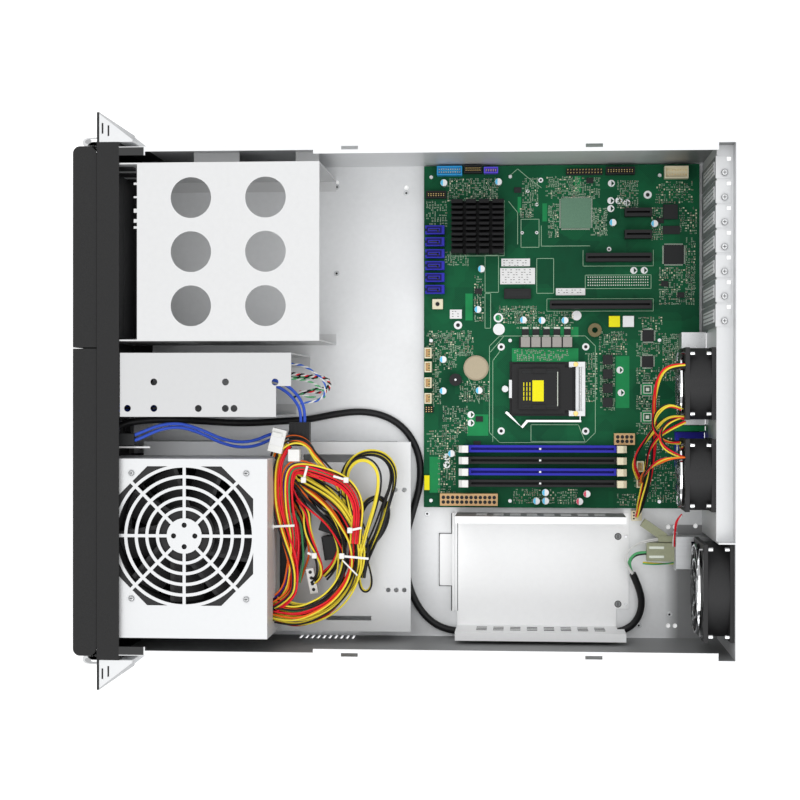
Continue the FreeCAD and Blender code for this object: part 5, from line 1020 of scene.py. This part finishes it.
    def pins(self, piece: Piece, low: Point, high: Point, columns: int, rows: int, finish: Finish,
             size: float = 0.5) -> None:
        """Sets a grid of upright pins into an area.

        Args:
            piece: Piece that takes them.
            low: Lowest corner of the area.
            high: Highest corner of the area.
            columns: Number across X.
            rows: Number along Y.
            finish: Their finish.
            size: Half of a pin's width.
        """
        piece.use(finish)
        for i in range(columns):
            for k in range(rows):
                x = low[0] + (i + 0.5) * (high[0] - low[0]) / columns
                y = low[1] + (k + 0.5) * (high[1] - low[1]) / rows
                piece.block((x - size, y - size, low[2]), (x + size, y + size, high[2]))

    def contacts(self) -> None:
        """Makes what fills the sockets and headers: cores, holes and pins; the holes and the drive ports' recesses are
        drawn black and dark blue as painted shade.
        """
        piece = Piece("header_contacts")
        low = self.top
        for x0, x1, y0, y1, count in ((83.2, 91.8, 28.5, 77.6, 12), (29.4, 37.4, 182.2, 198.2, 4)):
            piece.use(TAN).block((x0, y0, low + 6.6), (x1, y1, low + 12.4))
            for k in range(count):
                y = y0 + (k + 0.5) * (y1 - y0) / count
                for x in (x0 + (x1 - x0) * 0.26, x0 + (x1 - x0) * 0.74):
                    # Painted shade: each hole of the power plug is a black disc.
                    piece.use(BLACK).rod((x, y, low + 12.0), 1.65, 0.5, sides=12)
        for x, y in ((-47.4, 13.5), (-35.0, 13.5), (-20.9, 13.5), (-7.0, 13.5), (53.0, 201.0), (67.0, 201.0)):
            piece.use(TAN).block((x + 1, y + 1, low + 5), (x + 8.3, y + 3.2, low + 8))
            self.pins(piece, (x + 1, y + 3, low + 4), (x + 8.3, y + 5, low + 9.5), 3, 1, GOLD)
        for (x0, x1, y0, y1, height), finish, rows in (
                ((-207.9, -201.7, 25.4, 45.7, 9.5), LIGHT_BLUE, 10), ((-208.6, -203.5, 49.4, 63.4, 9.0), BLACK, 8),
                ((-206.8, -203.3, 67.1, 77.6, 9.0), PURPLE, 5), ((-186.0, -181.6, 15.6, 31.4, 8.0), BLACK, 7),
                ((-205.8, -201.4, 174.8, 198.2, 9.0), BLACK, 10), ((-206.2, -197.5, 226.2, 245.0, 9.0), CREAM, 8)):
            piece.use(finish).block((x0, y0, low + height - 7), (x1, y1, low + height - 3))
            self.pins(piece, (x0 + 0.6, y0, low + height - 3.2), (x1 - 0.6, y1, low + height - 0.6),
                      2, rows, GOLD, 0.32)
        piece.use(BLACK).block((-206.5, 139, low), (-200.8, 171, low + 2.5))
        self.pins(piece, (-206.2, 139, low + 2.4), (-201.1, 171, low + 8.0), 2, 12, GOLD, 0.32)
        piece.use(BLACK).block((4.6, 13.5, low), (10.5, 21, low + 2.5))
        self.pins(piece, (4.8, 13.8, low + 2.4), (10.3, 20.8, low + 8.0), 3, 3, GOLD, 0.32)
        piece.use(CREAM).block((-91, 20, low), (-82, 29.5, low + 3.5), 0.4)
        piece.use(BLACK).rod((-86.5, 24.8, low + 3.4), 1.8, 1.0, sides=16)
        piece.use(BLACK).block((-100, 84, low), (-91, 108, low + 4.5), 0.3)
        piece.use(CHIP_BLACK).block((-98, 86, low + 4.3), (-93, 106, low + 4.9))
        for i in range(PORTS):
            x = PORT_X + PORT_PITCH * i
            # Painted shade: each drive port's recess is a darker blue, and its L-shaped slot is black.
            piece.use(RECESS_SHADE_BLUE).block((x - 2.9, 15.2, low + 8.2), (x + 2.9, 28.6, low + 8.26))
            piece.use(BLUE_PLASTIC).block((x - 1.5, 16.6, low + 8.2), (x + 1.2, 27.0, low + 8.4), 0.1)
            piece.use(CHIP_BLACK).block((x - 0.7, 17.4, low + 8.2), (x + 0.5, 26.0, low + 8.45))
            piece.block((x - 0.7, 24.6, low + 8.2), (x + 2.2, 26.0, low + 8.45))
            piece.block((x - 0.9, 14.5, low + 1.5), (x + 0.9, 21.2, low + 6.5))
        for x in (42.3, 52.5, 62.7, 72.9):
            piece.use(CAN_WHITE).block((x - 0.8, 115.2, low + 9.4), (x + 0.8, 117.0, low + 9.7))
        piece.done()

    def socket(self) -> None:
        """Makes the label and marks on the socket's cover, and the cheeks' screws."""
        cap = Piece("cover_label")
        top = self.top + 8.0
        cap.use(YELLOW_PAPER).block((-18.4, 109.2, top), (0.2, 119.2, top + 0.12))
        for y in (101.2, 103.9, 106.6):
            for x in (-16.6, -12.4, -8.2, -4.0):
                cap.block((x, y, top), (x + 3.4, y + 0.8, top + 0.1))
        cap.use(CHIP_BLACK).block((-27, 100, top), (-24.5, 131, top + 0.3), 0.1)
        cap.block((2.9, 100, top), (5.4, 131, top + 0.3), 0.1)
        cap.use(TIN).block((-26, 131.2, top), (4.4, 131.8, top + 0.12))
        cap.done("load_plate")
        frame = Piece("socket_screws")
        frame.use(GOLD)
        for x in (-32.6, 11.0):
            frame.rod((x, 147.5, self.top + 7.0), 2.2, 1.0, sides=20, bevel=0.3)
        frame.use(SCREW).rod((-10.8, 85.0, self.top + 7.0), 3.0, 1.0, sides=24, bevel=0.3)
        frame.done()


class CaseDetail:
    """Screws, ties, plugs and marks on the case, the supply and the fans.

    Attributes:
        fans: Centre in X and Z, half the pitch of the holes, and front face in Y, of each rear fan.
        tie_places: Start and end in plan, and height, of each tie.
    """

    fans: tuple[tuple[float, float, float, float], ...] = (
        (-14.9, 83.5, 25.0, 234.8), (61.2, 83.5, 25.0, 234.8), (157.0, 87.0, 35.75, 248.3))
    tie_places: tuple[tuple[tuple[float, float], tuple[float, float], float], ...] = (
        ((106, -94), (107, -113), 91.0), ((56, -82), (67, -85), 93.5), ((64, -59), (67, -49), 90.0),
        ((108, -37), (110, -46), 87.5), ((134, -31), (132, -53), 87.0), ((131, -83), (133, -78), 75.0))

    def build(self) -> None:
        """Makes each group in turn."""
        self.supply_screws()
        self.fan_screws()
        self.ties()
        self.plugs()
        self.cover_grilles()
        self.tray_shadows()
        self.wall_tabs()
        self.rivets()
        self.inlet_terminals()

    def supply_screws(self) -> None:
        """Makes the cross-head screws over the supply's fan."""
        piece = Piece("supply_screws")
        for x, y in ((60.1, -225.8), (165.1, -225.8), (60.1, -128.8), (165.1, -128.8)):
            piece.use(SCREW).rod((x, y, 127.0), 2.6, 1.2, sides=20, top=1.6, bevel=0.2)
            # Painted shade: the cross recess is drawn black.
            piece.use(BLACK).cross(x, y, 128.0, 1.4, 0.3)
        piece.done()

    def fan_screws(self) -> None:
        """Makes the ends of the screws between the fans' flanges."""
        piece = Piece("fan_screws")
        piece.use(CHROME)
        for x, z, half, face in self.fans:
            for side in (-1, 1):
                for y in (face + 4.0, face + 17.5):
                    piece.rod((x + side * half, y, z + half), 1.9, 4.0, "y", 12, bevel=0.3)
        piece.done()

    def ties(self) -> None:
        """Makes the white ties round the supply's wires."""
        piece = Piece("cable_ties")
        piece.use(WHITE)
        for start, end, z in self.tie_places:
            piece.stroke(start, end, 1.9, z, z + 1.2)
            piece.block((end[0] - 2.4, end[1] - 2.2, z - 0.6), (end[0] + 2.4, end[1] + 2.2, z + 2.6), 0.6)
        piece.stroke((136, -52), (148, -40), 1.2, 87.0, 88.0)
        piece.done()

    def plugs(self) -> None:
        """Makes the ribs and flag of the port plug, the drive plugs on the shelf, the plugs behind the wires, and a
        painted shadow beside the supply's rear face.
        """
        piece = Piece("plug_details")
        piece.use(CHIP_BLACK)
        for y in (-97, -93.5, -90, -86.5, -83):
            piece.block((18.6, y, 91.0), (37.6, y + 1.2, 91.5), 0.15)
        piece.use(PAPER).block((28.5, -112.2, 102.9), (37.5, -101.5, 103.6), 0.2, turn=-0.24)
        piece.use(WHITE).block((26.5, -110.5, 103.4), (30.0, -102.0, 105.0), 0.4, turn=-0.24)
        piece.use(WHITE).block((145, -85, 58), (167, -78, 65), 0.4, turn=0.2)
        for k in range(4):
            piece.use(BLACK).rod((148.3 + 5.0 * k, -82.9 + 1.0 * k, 64.7), 1.5, 0.6, sides=12)
        piece.use(BLACK).block((67, -86, 56), (88, -69, 66), 0.8, turn=0.25)
        piece.use(CHIP_BLACK).block((69, -84, 66), (86, -71, 66.8), 0.3, turn=0.25)
        piece.use(CHIP_BLACK).block((101, -75, 50), (115, -58, 60), 0.8, turn=-0.3)
        piece.use(BLACK).block((117, -73, 46), (138, -58, 57), 0.8, turn=0.15)
        # Painted shadow: a long black block standing for the shadow along the supply's rear face.
        piece.block((112, -111, 37), (172, -104, 52), 0.8)
        piece.use(BLACK).block((70, -108, 50), (98, -100, 60), 0.8)
        piece.use(CHIP_BLACK).block((27.3, -240.8, 107.6), (37.7, -226.5, 114.4), 0.6)
        piece.use(PAPER).block((38.4, -240.9, 108.0), (39.8, -214.0, 109.2), 0.1)
        for k in range(3):
            piece.use(BLACK).block((98.2 + 2.6 * k, 198.2, 10.1), (99.6 + 2.6 * k, 199.8, 10.3))
        piece.done()

    def cover_grilles(self) -> None:
        """Makes the pierced sheets in the slot covers, their holes dark blocks of painted shade."""
        piece = Piece("cover_grilles")
        for k in range(SLOTS):
            x = SLOT_X + SLOT_PITCH * k
            piece.use(CAN_WHITE).block((x - 5.4, 258.2, 26), (x + 5.4, 258.8, 108))
            # Painted shade: the holes in each sheet are dark blocks.
            piece.use(CHIP_BLACK)
            for row in range(16):
                for side in (-3.4, 0.0, 3.4):
                    z = 29.0 + 5.0 * row + (2.5 if side else 0)
                    piece.block((x + side - 0.55, 258.0, z - 0.6), (x + side + 0.55, 258.3, z + 0.6))
        piece.done()

    def tray_shadows(self) -> None:
        """Makes painted shade in the tray's slots, painted shadow lines round its tab, the dark top edges of the rack
        ears' flanges, and painted shade in the ears' slots.
        """
        piece = Piece("tray_shadows")
        piece.use(CHIP_BLACK)
        # Painted shade: dark blocks in the slots of the tray's right wall.
        for row in range(8):
            y = 60.0 + 14.8 * row
            for z in (16.0, 25.0, 34.0):
                piece.block((200.5, y + 0.1, z + 0.1), (200.85, y + 9.2, z + 2.3))
        # Painted shadow: thin dark lines round the tray's tab.
        for start, end in (((119, 26), (166, 26)), ((119, 26), (119, 37)), ((166, 26), (166, 37)),
                           ((101, 37), (119, 37)),
                           ((166, 37), (188, 37)), ((101, 42.5), (188, 42.5))):
            piece.stroke(start, end, 0.6, 2.4, 2.46)
        for side in (-1, 1):
            piece.block((side * 228.7 - 12.5, -254.0, 131.55), (side * 228.7 + 12.5, -252.0, 131.7))
            # Painted shade: dark blocks in the rack ears' slots.
            piece.block((side * 227.7 - 4.3, -249.9, 124), (side * 227.7 + 4.3, -248.6, 130.5))
            piece.block((side * 225.7 - 4.3, -244.9, 124), (side * 225.7 + 4.3, -243.6, 130.5))
        piece.done()

    def wall_tabs(self) -> None:
        """Makes the bent tabs on the left wall, in the darker dull zinc as painted shade, and along the cage's front
        edge.
        """
        piece = Piece("wall_tabs")
        # Painted shade: the left wall's tabs take the darker dull zinc.
        piece.use(ZINC_DULL)
        for y0, y1 in ((-178, -139), (-91, -71)):
            piece.block((-210.9, y0, 100), (-198.8, y1, 101.2))
        piece.use(CAGE_ZINC)
        for x, width in ((-181.5, 2.0), (-170.3, 1.6), (-159.0, 3.4), (-150.5, 3.0), (-145.0, 2.0)):
            piece.block((x - width / 2, -223.4, 128.2), (x + width / 2, -220.3, 129.4), 0.2)
        piece.done()

    def rivets(self) -> None:
        """Makes the rivets in the floor and the screws of the tray and the slot covers, with their holes, slots and
        cross recesses in black as painted shade.
        """
        piece = Piece("rivets")
        for x, y in ((-193, -67), (-187, -4), (-115, -67), (101.5, 15), (190, 231), (200, 204), (118, 236)):
            piece.use(SCREW).rod((x, y, 1.2), 2.6, 0.5, sides=20, bevel=0.2)
            # Painted shade: the rivet's hole is a black disc.
            piece.use(BLACK).rod((x, y, 1.6), 1.0, 0.25, sides=12)
        for x, y in ((120.7, 185.5), (181, 185.5)):
            piece.use(CHIP_BLACK).rod((x, y, 2.4), 3.1, 0.3, sides=20)
            piece.use(SHADED_ZINC).rod((x, y, 2.4), 2.5, 0.6, sides=20, bevel=0.2)
            # Painted shade: the screw's slot is a black bar.
            piece.use(BLACK).block((x - 1.6, y - 0.3, 2.9), (x + 1.6, y + 0.3, 3.1))
        for k in range(SLOTS):
            x = SLOT_X + SLOT_PITCH * k + 4.6
            piece.use(SCREW).rod((x, 266.0, 118.1), 2.9, 0.9, sides=20, top=2.2, bevel=0.2)
            # Painted shade: the cross recess is drawn black.
            piece.use(BLACK).cross(x, 266.0, 118.9, 1.5, 0.25)
        piece.done()

    def inlet_terminals(self) -> None:
        """Makes the spade terminals under the inlet's boots and the filter's edge."""
        piece = Piece("inlet_terminals")
        piece.use(CLEAR).stroke((108.5, 209), (117.5, 222), 7.5, 17.5, 26.5)
        piece.use(TIN)
        for x in (128, 136):
            piece.block((x - 1.2, 211, 30.6), (x + 1.2, 224, 31.4), 0.2)
        piece.use(BRUSHED).block((116.5, 232.8, 12.5), (147.5, 234.2, 36.0), 0.4)
        piece.done()


class Studio:
    """Floor, lamps, world and camera.

    Attributes:
        height: Height of the camera, in millimetres.
        place: Its place in plan, in millimetres.
        lens: Its focal length, in millimetres.
        tilt: Its tilt along the case, in radians.
        lean: Its tilt across the case.
        roll: Its turn about its own line of sight.
    """

    height: float = 1541.4
    place: tuple[float, float] = (-4.7, 102.1)
    lens: float = 77.157
    tilt: float = 0.0724
    lean: float = -0.0025
    roll: float = 0.0007

    def build(self) -> None:
        """Sets the floor, light and camera."""
        scene = bpy.context.scene
        scene.view_settings.view_transform = "Standard"
        self.floor()
        self.world()
        self.lamp("sky_panel", (0.0, 0.0, 2.6), 3.2, 31.5, (0, 0, 0))
        self.lamp("left_panel", (-1.7, -0.6, 1.5), 1.2, 12.0, (0, -0.9, 0.3))
        self.lamp("right_panel", (1.3, 0.0, 2.1), 1.4, 10.0, (0, 0.55, 0))
        self.lamp("rear_panel_lamp", (0.4, 2.0, 1.6), 1.2, 14.0, (-0.9, 0, 0))
        self.camera()

    def floor(self) -> None:
        """Makes the pale floor under the case."""
        piece = bmesh.new()
        bmesh.ops.create_grid(piece, x_segments=1, y_segments=1, size=3.0)
        data = bpy.data.meshes.new("studio_floor")
        piece.to_mesh(data)
        piece.free()
        made = bpy.data.objects.new("studio_floor", data)
        bpy.context.scene.collection.objects.link(made)
        made.location = (0, 0, -0.0005)
        material = bpy.data.materials.new("studio_floor")
        graph = Graph(material)
        plain = graph.feed(graph.nodes["Principled BSDF"], {"Base Color": (0.82, 0.82, 0.82, 1), "Roughness": 0.9})
        glow = graph.add("Emission", {"Color": (1, 1, 1, 1), "Strength": 0.45})
        seen = graph.add("AddShader", {0: plain.outputs["BSDF"], 1: glow.outputs["Emission"]})
        ray = graph.add("LightPath").outputs["Is Camera Ray"]
        mix = graph.add("MixShader", {"Fac": ray, 1: plain.outputs["BSDF"], 2: seen.outputs["Shader"]})
        graph.feed(graph.nodes["Material Output"], {"Surface": mix.outputs["Shader"]})
        data.materials.append(material)

    def world(self) -> None:
        """Makes a soft white surrounding, brightest overhead."""
        world = bpy.data.worlds.new("studio_light")
        bpy.context.scene.world = world
        graph = Graph(world)
        ray = graph.add("LightPath").outputs["Is Camera Ray"]
        level = graph.add("MapRange", {"To Min": 0.55, "To Max": 1.0, "Value": ray})
        graph.feed(graph.nodes["Background"], {"Color": (1, 1, 1, 1), "Strength": level.outputs["Result"]})

    def lamp(self, name: str, place: Point, size: float, watts: float, turn: Point) -> None:
        """Adds a square area lamp.

        Args:
            name: Name of the lamp.
            place: Its place, in metres.
            size: Its side, in metres.
            watts: Its power.
            turn: Its turn, in radians.
        """
        data = bpy.data.lights.new(name, "AREA")
        data.size = size
        data.energy = watts
        made = bpy.data.objects.new(name, data)
        made.location = place
        made.rotation_euler = turn
        bpy.context.scene.collection.objects.link(made)

    def camera(self) -> None:
        """Places the camera high over the case, looking almost straight down."""
        down = Matrix(((0, 1, 0), (1, 0, 0), (0, 0, -1)))
        rows = (Matrix.Rotation(self.roll, 3, "Z") @ Matrix.Rotation(-self.lean, 3, "X")
                @ Matrix.Rotation(self.tilt, 3, "Y") @ down)
        turn = Matrix((rows[0], -rows[1], -rows[2])).transposed().to_4x4()
        data = bpy.data.cameras.new("overhead_camera")
        data.sensor_width = 36.0
        data.lens = self.lens
        data.clip_start, data.clip_end = 0.05, 20.0
        made = bpy.data.objects.new("overhead_camera", data)
        made.matrix_world = Matrix.Translation((self.place[0] * MM, self.place[1] * MM, self.height * MM)) @ turn
        bpy.context.scene.collection.objects.link(made)
        bpy.context.scene.camera = made


def main() -> None:
    """Builds the pieces in order."""
    logging.basicConfig(level=logging.INFO, format="%(message)s")
    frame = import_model()
    CaseWork(frame["nodes"]).dress()
    BoardWork().build()
    CaseDetail().build()
    Cabling().build()
    Studio().build()


if __name__ == "__main__":
    main()
